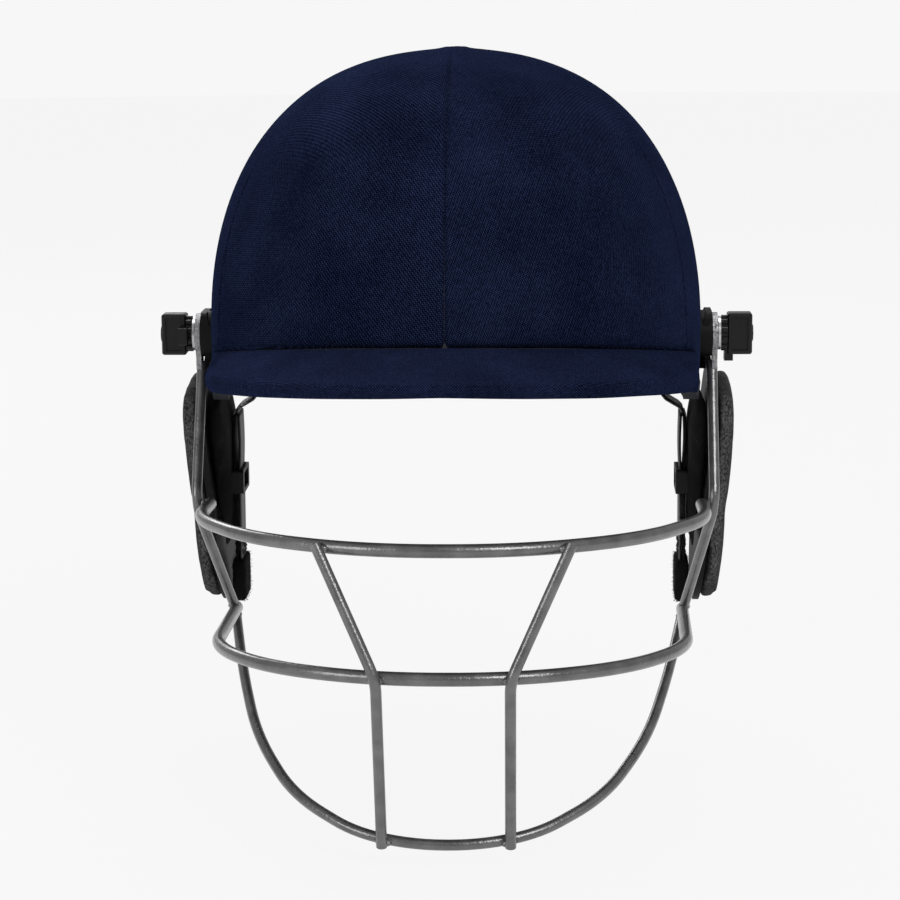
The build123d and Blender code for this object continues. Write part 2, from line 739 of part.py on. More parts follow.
def thumb_knob(lug_turn):
    """The moulded knob: a hub with a locking lug, and a hollowed paddle to turn it by."""
    hub = along_x(knob_hub_diameter / 2, hub_near, paddle_near)
    for number in range(knob_teeth):
        turn = 2 * math.pi * (number + 0.5) / knob_teeth
        at = {"y": knob_hub_diameter / 2 * math.cos(turn), "z": knob_hub_diameter / 2 * math.sin(turn)}
        hub = hub + along_x(knob_tooth_diameter / 2, hub_near, paddle_near, **at)
    paddle = block(paddle_near, paddle_far, -knob_depth / 2, knob_depth / 2,
                   -knob_height / 2, knob_height / 2)
    paddle = fillet(paddle.edges().filter_by(Axis.Y), knob_corner)
    paddle = chamfer(paddle.faces().sort_by(Axis.Y)[0].edges(), knob_edge)
    paddle = chamfer(paddle.faces().sort_by(Axis.Y)[-1].edges(), knob_edge)
    hollow_length = knob_length - 2 * knob_rim
    hollow = Box(hollow_length, knob_recess * 2, knob_height - 2 * knob_rim)
    hollow = fillet(hollow.edges().filter_by(Axis.Y), knob_corner / 2)
    middle = (paddle_near + paddle_far) / 2
    for side in (-1, 1):
        paddle = paddle - Pos(middle, side * knob_depth / 2, 0) * hollow
    lug_near = hub_near + knob_lug_start
    lug_body = block(lug_near, lug_near + knob_lug_length, -knob_lug_width / 2, knob_lug_width / 2,
                     -knob_lug_reach, 0)
    lug_body = fillet(lug_body.edges().filter_by(Axis.X), knob_corner / 2)
    lug = Rot(lug_turn, 0, 0) * lug_body
    knob = hub + paddle + lug
    return one_solid(knob - along_x(screw_diameter / 2, 0, half_width + 2 * overrun))


screw_cap = Pos(paddle_far, 0, 0) * Rot(0, 90, 0) * Cylinder(knob_cap_diameter / 2, knob_cap_rise,
                                                              align=(Align.CENTER, Align.CENTER, Align.MIN))
screw_cap = fillet(screw_cap.edges().sort_by(Axis.X)[-1:], knob_cap_rise * head_round_share)
thumb_screw_left = one_solid(along_x(screw_diameter / 2, screw_tip, paddle_far) + screw_cap)
knob_left = thumb_knob(knob_lug_turns[0])
knob_right = mirrored(thumb_knob(knob_lug_turns[1]))


# Files: each pair is written for both sides

os.makedirs("parts", exist_ok=True)

single_nodes = {
    "outer_wall": outer_wall,
    "cloth_cover_left": cloth_cover_left,
    "cloth_cover_right": cloth_cover_right,
    "peak_core": peak_core,
    "peak_cloth": peak_cloth,
    "peak_screws": Compound(children=peak_screws),
    "edge_trim": edge_trim,
    "foam_liner": foam_liner,
    "brow_pad": brow_pad,
    "crown_pad": crown_pad,
    "nape_pad": nape_pad,
    "top_bar": top_bar,
    "middle_bar": middle_bar,
    "chin_bar": chin_bar,
    "thumb_knob_left": knob_left,
    "thumb_knob_right": knob_right,
}
paired_nodes = {
    "side_pad": side_pad_left,
    "threaded_insert": insert_left,
    "ear_guard_plate": ear_guard_plate_left,
    "ear_outer_pad": ear_outer_pad_left,
    "ear_inner_pad": ear_inner_pad_left,
    "strap_rivet": strap_rivet_left,
    "strap_collar": strap_collar_left,
    "strap_eyelet": strap_eyelet_left,
    "chin_strap": strap_left,
    "strap_tab": tab_left,
    "strap_slider": strap_slider_left,
    "pivot_plate": pivot_plate_left,
    "side_wire": side_wire_left,
    "grille_strut": strut_left,
    "clamp_washer": washer_left,
    "thumb_screw": thumb_screw_left,
}

for name, shape in single_nodes.items():
    export_step(shape, f"parts/{name}.step")
for name, shape in paired_nodes.items():
    export_step(shape, f"parts/{name}_left.step")
    export_step(mirrored(shape), f"parts/{name}_right.step")

print("nodes", len(single_nodes) + 2 * len(paired_nodes))
print("strap at x", round(strap_top_x, 2), "screw tip", round(screw_tip, 2), "knob end", round(paddle_far, 2))
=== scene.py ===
# %% [markdown]
# # A cricket helmet, dressed in Blender
# The helmet comes from CAD as solids that already have the right places and joints. A solid of rubber,
# steel or moulded plastic keeps its shape here and only gets a finish. Everything soft is made again in
# this file, because cloth, padding and webbing bulge, wrinkle and fray in ways that CAD solids don't.
# Lengths are in metres, so a millimetre has its own name.

# %% Load the helmet
import bmesh
import bpy
import math
import random
from mathutils import Matrix, Vector, noise


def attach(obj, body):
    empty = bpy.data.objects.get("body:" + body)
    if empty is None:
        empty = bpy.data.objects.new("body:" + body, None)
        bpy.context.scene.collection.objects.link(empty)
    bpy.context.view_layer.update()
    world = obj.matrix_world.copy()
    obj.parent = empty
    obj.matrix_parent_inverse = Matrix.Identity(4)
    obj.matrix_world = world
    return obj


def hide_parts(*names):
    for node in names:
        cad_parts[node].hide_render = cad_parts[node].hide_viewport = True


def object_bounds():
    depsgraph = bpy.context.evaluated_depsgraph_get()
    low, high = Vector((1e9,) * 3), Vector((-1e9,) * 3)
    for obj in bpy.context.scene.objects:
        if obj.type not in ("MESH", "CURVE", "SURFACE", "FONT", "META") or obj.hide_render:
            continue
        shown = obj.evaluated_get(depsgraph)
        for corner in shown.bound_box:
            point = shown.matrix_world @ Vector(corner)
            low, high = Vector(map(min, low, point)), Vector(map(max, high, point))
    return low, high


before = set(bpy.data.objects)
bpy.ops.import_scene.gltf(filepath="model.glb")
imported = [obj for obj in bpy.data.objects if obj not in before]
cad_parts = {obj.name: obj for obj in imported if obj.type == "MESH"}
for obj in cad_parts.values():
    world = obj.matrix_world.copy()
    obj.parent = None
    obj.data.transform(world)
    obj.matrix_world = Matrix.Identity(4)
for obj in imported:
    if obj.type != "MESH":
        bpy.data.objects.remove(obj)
cad_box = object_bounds()
MM = 0.001

# %% [markdown]
# ## The camera
# The photograph was taken from the front, a little above and a little to the wearer's left. A long lens
# flattens the grille against the dome, so the distance matters as much as the angle. The camera is built
# from its looking direction, then rolled by a fraction of a degree, because the helmet doesn't stand quite
# level in the picture.

# %% Camera at the photograph's place
turn = math.radians(2.3)
lift = math.radians(10.0)
roll = math.radians(0.4)
distance = 1177.0 * MM
raised = -49.0 * MM
aside = -2.9 * MM
looking = Vector((-math.sin(turn) * math.cos(lift), math.cos(turn) * math.cos(lift), -math.sin(lift)))
sideways = Vector((math.cos(turn), math.sin(turn), 0.0))
upward = sideways.cross(looking)
rolled_up = upward * math.cos(roll) + sideways * math.sin(roll)
rolled_side = sideways * math.cos(roll) - upward * math.sin(roll)
stand = looking * -distance + upward * raised + sideways * aside
lens_data = bpy.data.cameras.new("photo_lens")
lens_data.lens = 112.3
lens_data.sensor_width = 36.0
camera = bpy.data.objects.new("photo_camera", lens_data)
axes = Matrix((rolled_side, rolled_up, -looking)).transposed()
camera.matrix_world = Matrix.Translation(stand) @ axes.to_4x4()
bpy.context.scene.collection.objects.link(camera)
bpy.context.scene.camera = camera
bpy.context.scene.view_settings.view_transform = "Standard"
print("camera stands at", [round(value, 3) for value in stand])

# %% [markdown]
# ## Objects from points and faces
# Most soft pieces below are grids of points that follow a formula, so one helper turns points and faces
# into an object. A grid helper makes the faces of a net of rows and columns. Both keep the object at the
# origin and put the shape in the mesh, so that a texture laid by object coordinates has the same scale on
# every piece.

# %% Helpers for meshes
def make_object(name, points, faces, finish, smooth=True):
    mesh = bpy.data.meshes.new(name)
    mesh.from_pydata([tuple(point) for point in points], [], faces)
    mesh.validate()
    if smooth:
        mesh.polygons.foreach_set("use_smooth", [True] * len(mesh.polygons))
    mesh.materials.append(finish)
    piece = bpy.data.objects.new(name, mesh)
    bpy.context.scene.collection.objects.link(piece)
    return piece


def net(rows, columns, closed_rows=False, closed_columns=False):
    """Faces of a grid whose point number is row * columns + column."""
    faces = []
    for row in range(rows if closed_rows else rows - 1):
        for column in range(columns if closed_columns else columns - 1):
            next_row = (row + 1) % rows
            next_column = (column + 1) % columns
            faces.append((row * columns + column, row * columns + next_column,
                          next_row * columns + next_column, next_row * columns + column))
    return faces


def apply_modifiers(piece):
    """Turns what the modifiers show into the piece's own mesh."""
    bpy.context.view_layer.update()
    shown = piece.evaluated_get(bpy.context.evaluated_depsgraph_get())
    mesh = bpy.data.meshes.new_from_object(shown)
    piece.modifiers.clear()
    piece.data = mesh


# %% [markdown]
# ## Small tools for finishes
# A real surface is never one flat colour. Each finish starts as a plain shader with its own roughness, and
# then noise or a weave changes its colour a little and tips its normals. These helpers keep that short: one
# makes the shader, one does arithmetic on textures, one makes noise of a known size, and one turns a height
# into relief.

# %% Helpers for finishes
def new_finish(name, colour, roughness, metallic=0.0, **extra):
    finish = bpy.data.materials.new(name)
    finish.use_nodes = True
    shader = finish.node_tree.nodes["Principled BSDF"]
    shader.inputs["Base Color"].default_value = (*colour, 1.0)
    shader.inputs["Roughness"].default_value = roughness
    shader.inputs["Metallic"].default_value = metallic
    for socket, value in extra.items():
        shader.inputs[socket.replace("_", " ")].default_value = value
    return finish


def feed(finish, socket, value):
    if isinstance(value, bpy.types.NodeSocket):
        finish.node_tree.links.new(value, socket)
    else:
        socket.default_value = value


def calc(finish, operation, *values):
    """One step of arithmetic on numbers or on what other nodes give."""
    step = finish.node_tree.nodes.new("ShaderNodeMath")
    step.operation = operation
    for socket, value in zip(step.inputs, values):
        feed(finish, socket, value)
    return step.outputs[0]


def place_on(finish, kind="Object"):
    """The place of a point of the surface, or its normal, as three numbers."""
    coordinates = finish.node_tree.nodes.new("ShaderNodeTexCoord")
    split = finish.node_tree.nodes.new("ShaderNodeSeparateXYZ")
    feed(finish, split.inputs[0], coordinates.outputs[kind])
    return split.outputs[0], split.outputs[1], split.outputs[2]


def grains(finish, size, detail=2.0):
    """Noise whose blotches are about as large as size, in metres."""
    coordinates = finish.node_tree.nodes.new("ShaderNodeTexCoord")
    texture = finish.node_tree.nodes.new("ShaderNodeTexNoise")
    texture.inputs["Scale"].default_value = 0.6 / size
    texture.inputs["Detail"].default_value = detail
    feed(finish, texture.inputs["Vector"], coordinates.outputs["Object"])
    return texture.outputs["Fac"]


def blend_colours(finish, share, low, high):
    mixer = finish.node_tree.nodes.new("ShaderNodeMix")
    mixer.data_type = "RGBA"
    feed(finish, mixer.inputs[0], share)
    feed(finish, mixer.inputs[6], low if isinstance(low, bpy.types.NodeSocket) else (*low, 1.0))
    feed(finish, mixer.inputs[7], high if isinstance(high, bpy.types.NodeSocket) else (*high, 1.0))
    return mixer.outputs[2]


def colour_by(finish, share, low, high):
    shader = finish.node_tree.nodes["Principled BSDF"]
    feed(finish, shader.inputs["Base Color"], blend_colours(finish, share, low, high))


def vary_roughness(finish, share, low, high):
    shader = finish.node_tree.nodes["Principled BSDF"]
    spread = calc(finish, "MULTIPLY_ADD", share, high - low, low)
    feed(finish, shader.inputs["Roughness"], spread)


def relief(finish, height, depth):
    """Tips the normals as if the height stood depth metres out of the surface."""
    bump = finish.node_tree.nodes.new("ShaderNodeBump")
    bump.inputs["Strength"].default_value = 1.0
    bump.inputs["Distance"].default_value = depth
    feed(finish, bump.inputs["Height"], height)
    shader = finish.node_tree.nodes["Principled BSDF"]
    feed(finish, shader.inputs["Normal"], bump.outputs["Normal"])


# %% [markdown]
# ## Woven cloth
# The dome and the peak are covered in a coarse navy cloth, whose threads show as rows of dots. An image
# could carry that, but formulas scale better: the product of two sines gives the dots, and a weaker sine
# joins them into ribs along one of the two thread directions. The pattern is laid from the front, from the
# side and from above, and the surface's normal decides which of the three shows. Each piece of cloth is cut
# with its threads turned its own way, as the photograph shows, so the turn of the threads is a value of
# each finish.

# %% The weave
# The same height also sets the colour of every cloth finish: painted shade between the threads and painted
# highlight on their tops.
def weave(finish, pitch, thread_turn=0.0, ribbed=0.0):
    """0 between the threads and 1 on top of them, for cloth seen from any side."""
    x, y, z = place_on(finish)
    facing_x, facing_y, facing_z = place_on(finish, "Normal")
    fast = 2 * math.pi / pitch * math.cos(thread_turn)
    slow = 2 * math.pi / pitch * math.sin(thread_turn)
    total = 0.0
    weights = 0.0
    for across, along, facing in ((x, z, facing_y), (y, z, facing_x), (x, y, facing_z)):
        warp = calc(finish, "MULTIPLY_ADD", across, fast, calc(finish, "MULTIPLY", along, slow))
        weft = calc(finish, "MULTIPLY_ADD", along, fast, calc(finish, "MULTIPLY", across, -slow))
        rows = calc(finish, "SINE", weft)
        dots = calc(finish, "MULTIPLY_ADD", calc(finish, "SINE", warp), 1 - ribbed, ribbed)
        height = calc(finish, "MULTIPLY", dots, rows)
        weight = calc(finish, "POWER", calc(finish, "ABSOLUTE", facing), 6.0)
        total = calc(finish, "MULTIPLY_ADD", height, weight, total)
        weights = calc(finish, "ADD", weight, weights)
    mean = calc(finish, "DIVIDE", total, weights)
    return calc(finish, "MULTIPLY_ADD", mean, 0.5, 0.5)


# %% [markdown]
# The navy is painted nearly black between the threads as painted shade, and blue on their tops as painted
# highlight; a faint blue sheen adds to it where light grazes the threads. Dust and wear lighten small areas,
# so slow noise moves the colour by a few percent.

# %% Finishes of cloth
def cloth_finish(name, shade, lit, pitch, depth, thread_turn=0.0, ribbed=0.0, roughness=0.85, highlight_bite=1.0,
                 **extra):
    """highlight_bite above 1 leaves only the tops of the threads bright, as a painted highlight."""
    finish = new_finish(name, lit, roughness, Specular_IOR_Level=0.06, **extra)
    ribs = weave(finish, pitch, thread_turn, ribbed)
    patches = calc(finish, "MULTIPLY_ADD", grains(finish, 18 * MM), 0.4, -0.2)
    fuzz = calc(finish, "MULTIPLY_ADD", grains(finish, 0.7 * MM), 0.6, -0.3)
    share = calc(finish, "ADD", calc(finish, "ADD", ribs, patches), fuzz)
    # Painted light: the colour goes from shade between the threads, as painted shade, to lit on their tops,
    # as painted highlight.
    colour_by(finish, calc(finish, "POWER", calc(finish, "MAXIMUM", share, 0.0), highlight_bite), shade, lit)
    relief(finish, calc(finish, "ADD", ribs, fuzz), depth)
    return finish


def navy_cloth(name, thread_turn, ribbed):
    finish = cloth_finish(name, (0.0001, 0.0004, 0.0030), (0.0210, 0.0310, 0.0800), 1.05 * MM, 0.3 * MM,
                          math.radians(thread_turn), ribbed, highlight_bite=2.2, Sheen_Weight=0.035,
                          Sheen_Roughness=0.4)
    shader = finish.node_tree.nodes["Principled BSDF"]
    shader.inputs["Specular IOR Level"].default_value = 0.0
    shader.inputs["Sheen Tint"].default_value = (0.25, 0.35, 0.9, 1.0)
    return finish


navy_cut = {
    "left": navy_cloth("navy_cloth_left", 72, 0.25),
    "right": navy_cloth("navy_cloth_right", -52, 0.4),
    "peak": navy_cloth("navy_cloth_peak", 0, 0.1),
}
# The knit is painted darker between its threads as painted shade and lighter on their tops as painted
# highlight.
black_knit = cloth_finish("black_knit", (0.002, 0.002, 0.002), (0.010, 0.010, 0.0105), 1.1 * MM, 0.14 * MM,
                          Sheen_Weight=0.03)
print("cuts of the navy cloth", list(navy_cut))

# %% [markdown]
# ## The dome's shape
# The dome is half of a rounded block: seen from the front its outline is a superellipse, which is fuller at
# the shoulders than an ellipse. The same numbers as in the CAD give the same surface here. A point is named
# by how far round it lies, from the brow to the nape, and how far it has climbed towards the crown.

# %% Points of the dome
half_width = 102.0 * MM
front_reach = 118.0 * MM
back_reach = 137.0 * MM
crown_height = 117.8 * MM
dome_power = 2.32


def dome_point(around, climb):
    level = abs(math.cos(climb)) ** (2 / dome_power)
    height = math.copysign(abs(math.sin(climb)) ** (2 / dome_power), climb) * crown_height
    reach = front_reach if around < math.pi / 2 else back_reach
    across = half_width * level * math.sin(around)
    ahead = -reach * level * math.cos(around)
    return Vector((across, ahead, height))


print("crown at", round(dome_point(0, math.pi / 2).z, 4))

# %% [markdown]
# ## The cloth cover
# Two cloth panels meet in one seam that runs from the brow over the crown to the nape. Sewn cloth turns in
# at a seam, so the panel dips there and the folded allowance makes a low ridge beside the dip. A fainter
# seam climbs each side from the end of the peak and fades near the crown. Lower down the panel ends under
# the edge moulding, and at the front it ends above the peak. The panel is a net of columns that climb to
# the crown. Columns crowd together near the seam, because the dip is only about a millimetre wide.

# %% Where the cover ends
brow_drop = 5.0 * MM
side_drop = 25.0 * MM
nape_drop = 38.0 * MM
edge_corners = [(-150 * MM, -brow_drop), (-72 * MM, -brow_drop), (-11.8 * MM, -side_drop),
                (52 * MM, -side_drop), (90.4 * MM, -nape_drop), (170 * MM, -nape_drop)]
peak_back = -32.0 * MM


def edge_height(ahead):
    """Height of the dome's lower edge at a place from front to back."""
    for (start, low), (end, high) in zip(edge_corners, edge_corners[1:]):
        if ahead <= end:
            return low + (high - low) * max(0.0, ahead - start) / (end - start)
    return edge_corners[-1][1]


def root_height(ahead):
    """Height of the line where the top of the peak meets the dome."""
    return 9.7 * MM - 0.159 * (ahead + 115.0 * MM)


def cover_foot(ahead):
    return root_height(ahead) if ahead < peak_back else edge_height(ahead) + 1.2 * MM


def foot_climb(around):
    """The climb at which a column of the cover starts."""
    climb = 0.0
    for _ in range(8):
        level = cover_foot(dome_point(around, climb).y)
        climb = math.copysign(math.asin(min(1.0, abs(level) / crown_height) ** (dome_power / 2)), level)
    return climb


print("cover starts at the brow", round(dome_point(0, foot_climb(0)).z, 4))

# %% How far the cloth lies below the dome's curve
seam_depth, seam_width = 1.1 * MM, 0.9 * MM
seam_fade, seam_fade_power = 0.8, 30
ridge_place, ridge_height, ridge_width = 4.0 * MM, 0.3 * MM, 1.6 * MM
crown_rise, crown_run = 1.4 * MM, 6.0 * MM
side_seam = 67.5
side_seam_depth, side_seam_width = 0.5 * MM, 0.55 * MM
side_seam_top, side_seam_fade = 84.0 * MM, 20.0 * MM
side_ridge_place, side_ridge_height, side_ridge_width = 1.8 * MM, 0.2 * MM, 1.1 * MM
tuck_depth, tuck_width = 0.7 * MM, 1.1 * MM
hem_place, hem_height, hem_width = 3.2 * MM, 0.35 * MM, 1.7 * MM
pucker_height, pucker_width, pucker_pitch = 0.35 * MM, 9.0 * MM, 90
slack_height, slack_pitch = 0.22 * MM, 26


def clamp(value):
    return min(1.0, max(0.0, value))


def dip(off, depth, width):
    """How deep a line draws the cloth in, at a distance off from it."""
    return depth * math.exp(-(off / width) ** 2)


def crown_seam_sink(off, uphill):
    sink = dip(off, seam_depth, seam_width) * (1 - seam_fade * uphill ** seam_fade_power)
    sink -= dip(off - ridge_place, ridge_height, ridge_width)
    return sink - crown_rise * math.exp(-off / crown_run) * uphill ** 2


def side_seam_sink(around, height):
    beside = (around - math.radians(side_seam)) * half_width
    line = dip(beside, side_seam_depth, side_seam_width)
    line -= dip(beside - side_ridge_place, side_ridge_height, side_ridge_width)
    return line * clamp((side_seam_top - height) / side_seam_fade)


def hem_sink(point, rise, side):
    """Above the peak the cloth is tucked in, with a rolled hem and small puckers over it."""
    pucker = noise.noise(Vector((point.x * pucker_pitch, point.y * pucker_pitch, side)))
    sink = dip(rise, tuck_depth, tuck_width) - dip(rise - hem_place, hem_height, hem_width)
    return sink - dip(rise, pucker_height * pucker, pucker_width)


print("the cloth sinks at the seam by", seam_depth, "and at the peak by", tuck_depth)

# %% One panel of the cover
panel_rows = 78
row_crowding = 1.05
backing_thickness = 0.8 * MM
seam_gap = 0.04 * MM
near_seam = [0.0, 0.25, 0.5, 0.8, 1.1, 1.5, 2.0, 2.7, 3.6, 4.8, 6.4]
near_side_seam = [-2.4, -1.4, -0.8, -0.45, -0.2, 0.0, 0.2, 0.45, 0.8, 1.4, 2.4]
near_peak_end = [71.2, 72.0, 72.2]


def panel_columns():
    """How far round each column stands, in degrees from the brow."""
    front = near_seam + [8.5 + step * 2.2 for step in range(26)]
    front += [side_seam + step for step in near_side_seam] + near_peak_end
    middle = [73.0 + step * 2.25 for step in range(45)]
    return front + middle + [180.0 - place for place in reversed(near_seam)]


def panel_point(around, share, side):
    start = foot_climb(around)
    climb = start + (math.pi / 2 - start) * share ** row_crowding
    point = dome_point(around, climb)
    outward = Vector((point.x / half_width ** 2, point.y / front_reach ** 2, point.z / crown_height ** 2))
    outward = outward.normalized() if outward.length else Vector((0, 0, 1))
    sink = crown_seam_sink(abs(point.x), max(0.0, math.sin(climb))) + side_seam_sink(around, point.z)
    if point.y < peak_back:
        sink += hem_sink(point, (point - dome_point(around, start)).length, side)
    slack = Vector((point.x * slack_pitch + side * 7, point.y * slack_pitch, point.z * slack_pitch))
    moved = point - outward * (sink - slack_height * noise.noise(slack))
    return Vector((side * max(moved.x, seam_gap), moved.y, moved.z))


def face_outwards(piece, merge=0.0):
    """Turns all faces outwards, after points closer than merge have become one."""
    bm = bmesh.new()
    bm.from_mesh(piece.data)
    if merge:
        bmesh.ops.remove_doubles(bm, verts=bm.verts, dist=merge)
    bmesh.ops.recalc_face_normals(bm, faces=bm.faces)
    bm.to_mesh(piece.data)
    bm.free()


def cover_panel(name, side):
    columns = [math.radians(place) for place in panel_columns()]
    points = [panel_point(around, row / (panel_rows - 1), side)
              for around in columns for row in range(panel_rows)]
    faces = net(len(columns), panel_rows)
    if side > 0:
        faces = [tuple(reversed(face)) for face in faces]
    panel = make_object(name, points, faces, navy_cut["left" if side > 0 else "right"])
    face_outwards(panel, 0.01 * MM)
    backing = panel.modifiers.new("cloth_backing", "SOLIDIFY")
    backing.thickness = backing_thickness
    backing.offset = -1.0
    apply_modifiers(panel)
    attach(panel, "helmet")
    return panel


print("columns of a panel", len(panel_columns()), "of", panel_rows, "rows")

# %% [markdown]
# A panel is cut flat and pulled tight over the wall. Its cut is as long as the seam, from the brow over the
# crown to the nape, and as wide as the way from the crown down to the side edge. Pulled cloth grows a
# little, so the flat cloth is smaller than the area that it covers.

# %% Both panels and their cut
def skin_area(piece, layers):
    """Area of the cloth of a piece whose mesh shows it in one or two layers."""
    return sum(face.area for face in piece.data.polygons) / layers


def run_length(line):
    return sum((after - before).length for before, after in zip(line, line[1:]))


climbs = [step * math.pi / 40 for step in range(21)]
seam_run = run_length([dome_point(0, climb) for climb in climbs])
seam_run += run_length([dome_point(math.pi, climb) for climb in climbs]) + nape_drop
for side, word in ((1, "left"), (-1, "right")):
    panel = cover_panel("twill_panel_" + word, side)
    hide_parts("cloth_cover_" + word)
    print(panel.name, "faces", len(panel.data.polygons), "cloth area", round(skin_area(panel, 2), 4))

# %% [markdown]
# ## The cloth of the peak
# The peak is a thin plastic plate wrapped in the same twill, with its weave running straight. Upright
# sections are taken every degree or so round the front, each one a line from the root over the top, round
# the nose and back underneath. The cloth closes over the ends of the plate with a soft rounded fold, so a
# few rings past the last section shrink towards its middle.

# %% Sections of the peak
peak_reach = 156.5 * MM
peak_half_width = 99.8 * MM
peak_centre = 42.0 * MM
peak_end = 72.0
lip_level, lip_fall = -3.3 * MM, 17.0 * MM
lip_height, lip_growth = 5.4 * MM, 7.6 * MM
flange_width = 3.2 * MM
tuck_in = 1.5 * MM
top_steps, nose_steps, under_steps = 14, 8, 8


def plan_radius(turn_round, half, reach, centre):
    """How far away an oval edge is, in a direction turned from straight ahead."""
    across = math.sin(turn_round) / half
    ahead = math.cos(turn_round) / reach
    offset = centre / reach
    square = across ** 2 + ahead ** 2
    linear = -2 * ahead * offset
    return (-linear + math.sqrt(linear ** 2 - 4 * square * (offset ** 2 - 1))) / (2 * square)


def peak_section(degrees):
    """The line round the peak at an angle from straight ahead: from the root over the lip and back."""
    turn_round = math.radians(degrees)
    part_way = abs(degrees) / peak_end
    root = plan_radius(turn_round, half_width, front_reach, 0)
    lip = plan_radius(turn_round, peak_half_width, peak_reach - peak_centre, peak_centre)
    lip = max(lip, root + 2 * MM)
    root_z = root_height(-root * math.cos(turn_round))
    lip_z = lip_level - lip_fall * part_way ** 1.4
    lip_high = lip_height + lip_growth * part_way ** 2
    rise = (root_z - 6.4 * MM - lip_z) * math.cos(part_way * math.pi / 2)
    flange = min(flange_width, (lip - root) * 0.35)
    nose = min(lip_high * 0.42, (lip - root) * 0.45)
    line = [(root - tuck_in, root_z - 0.8 * MM), (root - 0.2 * MM, root_z - 0.5 * MM)]
    for step in range(top_steps):
        share = (step + 0.25) / top_steps
        crown = (0.35 + 0.9 * part_way ** 3) * MM * math.sin(share * math.pi)
        line.append((root + (lip - nose - root) * share,
                     root_z + (lip_z + lip_high - root_z) * share + crown))
    for step in range(nose_steps + 1):
        angle = math.pi / 2 - step * math.pi / nose_steps
        line.append((lip - nose + nose * math.cos(angle), lip_z + lip_high / 2 * (1 + math.sin(angle))))
    for step in range(1, under_steps + 1):
        share = step / under_steps
        line.append((lip - nose + (root + flange - lip + nose) * share, lip_z + rise * share))
    line.append((root - tuck_in, lip_z + rise * 0.2))
    return [Vector((away * math.sin(turn_round), -away * math.cos(turn_round), z)) for away, z in line]


print("the peak reaches forwards to", round(min(point.y for point in peak_section(0)), 4))

# %% The peak's skin
section_step = 1.2
section_count = 121
end_radius = 1.5 * MM
end_rings = 6
peak_slack, peak_slack_pitch = 0.18 * MM, 34


def soft_end(section, way):
    """Rings that round off one end of the peak, just past the end of its plastic core."""
    high = max(point.z for point in section) - end_radius
    low = min(point.z for point in section) + end_radius
    middle = sum(section, Vector()) / len(section)
    turn_round = math.radians(peak_end)
    onward = Vector((way * math.cos(turn_round), math.sin(turn_round), 0.0)) * end_radius
    spine = [Vector((middle.x, middle.y, max(low, min(high, point.z)))) for point in section]
    rings = []
    for step in range(1, end_rings + 1):
        out = step / (end_rings + 0.3)
        shrink = 1 - math.sqrt(1 - out ** 2)
        rings.append([point.lerp(inner, shrink) + onward * out for point, inner in zip(section, spine)])
    return rings


def peak_skin():
    turns = [-peak_end + step * section_step for step in range(section_count)]
    sections = [peak_section(degrees) for degrees in turns]
    sections = soft_end(sections[0], -1)[::-1] + sections + soft_end(sections[-1], 1)
    count = len(sections[0])
    points = [point + Vector((0, 0, peak_slack * noise.noise(point * peak_slack_pitch)))
              for section in sections for point in section]
    faces = net(len(sections), count)
    for end in (0, len(sections) - 1):
        rim = [end * count + number for number in range(count)]
        faces.append(tuple(rim if end else reversed(rim)))
    return points, faces


points, faces = peak_skin()
peak_cover = make_object("peak_twill", points, faces, navy_cut["peak"])
face_outwards(peak_cover)
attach(peak_cover, "helmet")
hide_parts("peak_cloth")
print(peak_cover.name, "faces", len(peak_cover.data.polygons),
      "cloth area", round(skin_area(peak_cover, 1), 4))

# %% [markdown]
# ## Padding
# The pads are foam blocks in a knitted cover. A block from CAD has sharp rims, and a stuffed one has none.
# So each block is shrunk a little, given an even net of small faces, and blown up by Blender's cloth
# simulation with a little pressure inside. The blown shape is then held back, so that no point moves
# further than a set distance and the side that lies against the foam hardly moves. Sewn channels are
# pressed in afterwards, because an even net would lose them.

# %% Blow up a pad
def remeshed_copy(node, name, shrink, voxel, passes):
    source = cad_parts[node]
    piece = bpy.data.objects.new(name, source.data.copy())
    piece.data.materials.clear()
    bpy.context.scene.collection.objects.link(piece)
    net_maker = piece.modifiers.new("even_net", "REMESH")
    net_maker.mode = "VOXEL"
    net_maker.voxel_size = voxel
    apply_modifiers(piece)
    mesh = piece.data
    moves = [vertex.normal * -shrink for vertex in mesh.vertices]
    for vertex, move in zip(mesh.vertices, moves):
        vertex.co += move
    smoother = piece.modifiers.new("soften", "SMOOTH")
    smoother.factor = 0.5
    smoother.iterations = passes
    apply_modifiers(piece)
    return piece


def blow_up(piece, pressure, frames):
    start = [vertex.co.copy() for vertex in piece.data.vertices]
    cloth = piece.modifiers.new("stuffing", "CLOTH")
    cloth.settings.use_pressure = True
    cloth.settings.uniform_pressure_force = pressure
    cloth.settings.effector_weights.gravity = 0.0
    cloth.settings.quality = 5
    cloth.settings.mass = 0.15
    cloth.point_cache.frame_start = 1
    cloth.point_cache.frame_end = frames
    for step in range(1, frames + 1):
        bpy.context.scene.frame_set(step)
    shown = piece.evaluated_get(bpy.context.evaluated_depsgraph_get())
    blown = [vertex.co.copy() for vertex in shown.data.vertices]
    piece.modifiers.clear()
    bpy.context.scene.frame_set(1)
    return start, blown


def settle(piece, start, blown, cap, still):
    """Moves each point towards its blown place, at most by cap, and less where still says so."""
    for vertex, before, after in zip(piece.data.vertices, start, blown):
        move = after - before
        if move.length > cap:
            move = move.normalized() * cap
        vertex.co = before + move * (1 - still(before, vertex.normal))
    finer = piece.modifiers.new("finer", "SUBSURF")
    finer.levels = 1
    finer.render_levels = 1
    apply_modifiers(piece)
    piece.data.polygons.foreach_set("use_smooth", [True] * len(piece.data.polygons))


# %% [markdown]
# The liner pads press against the foam outside them, and the ear pads against the moulded plate. The side
# that rests on something stays where it is.

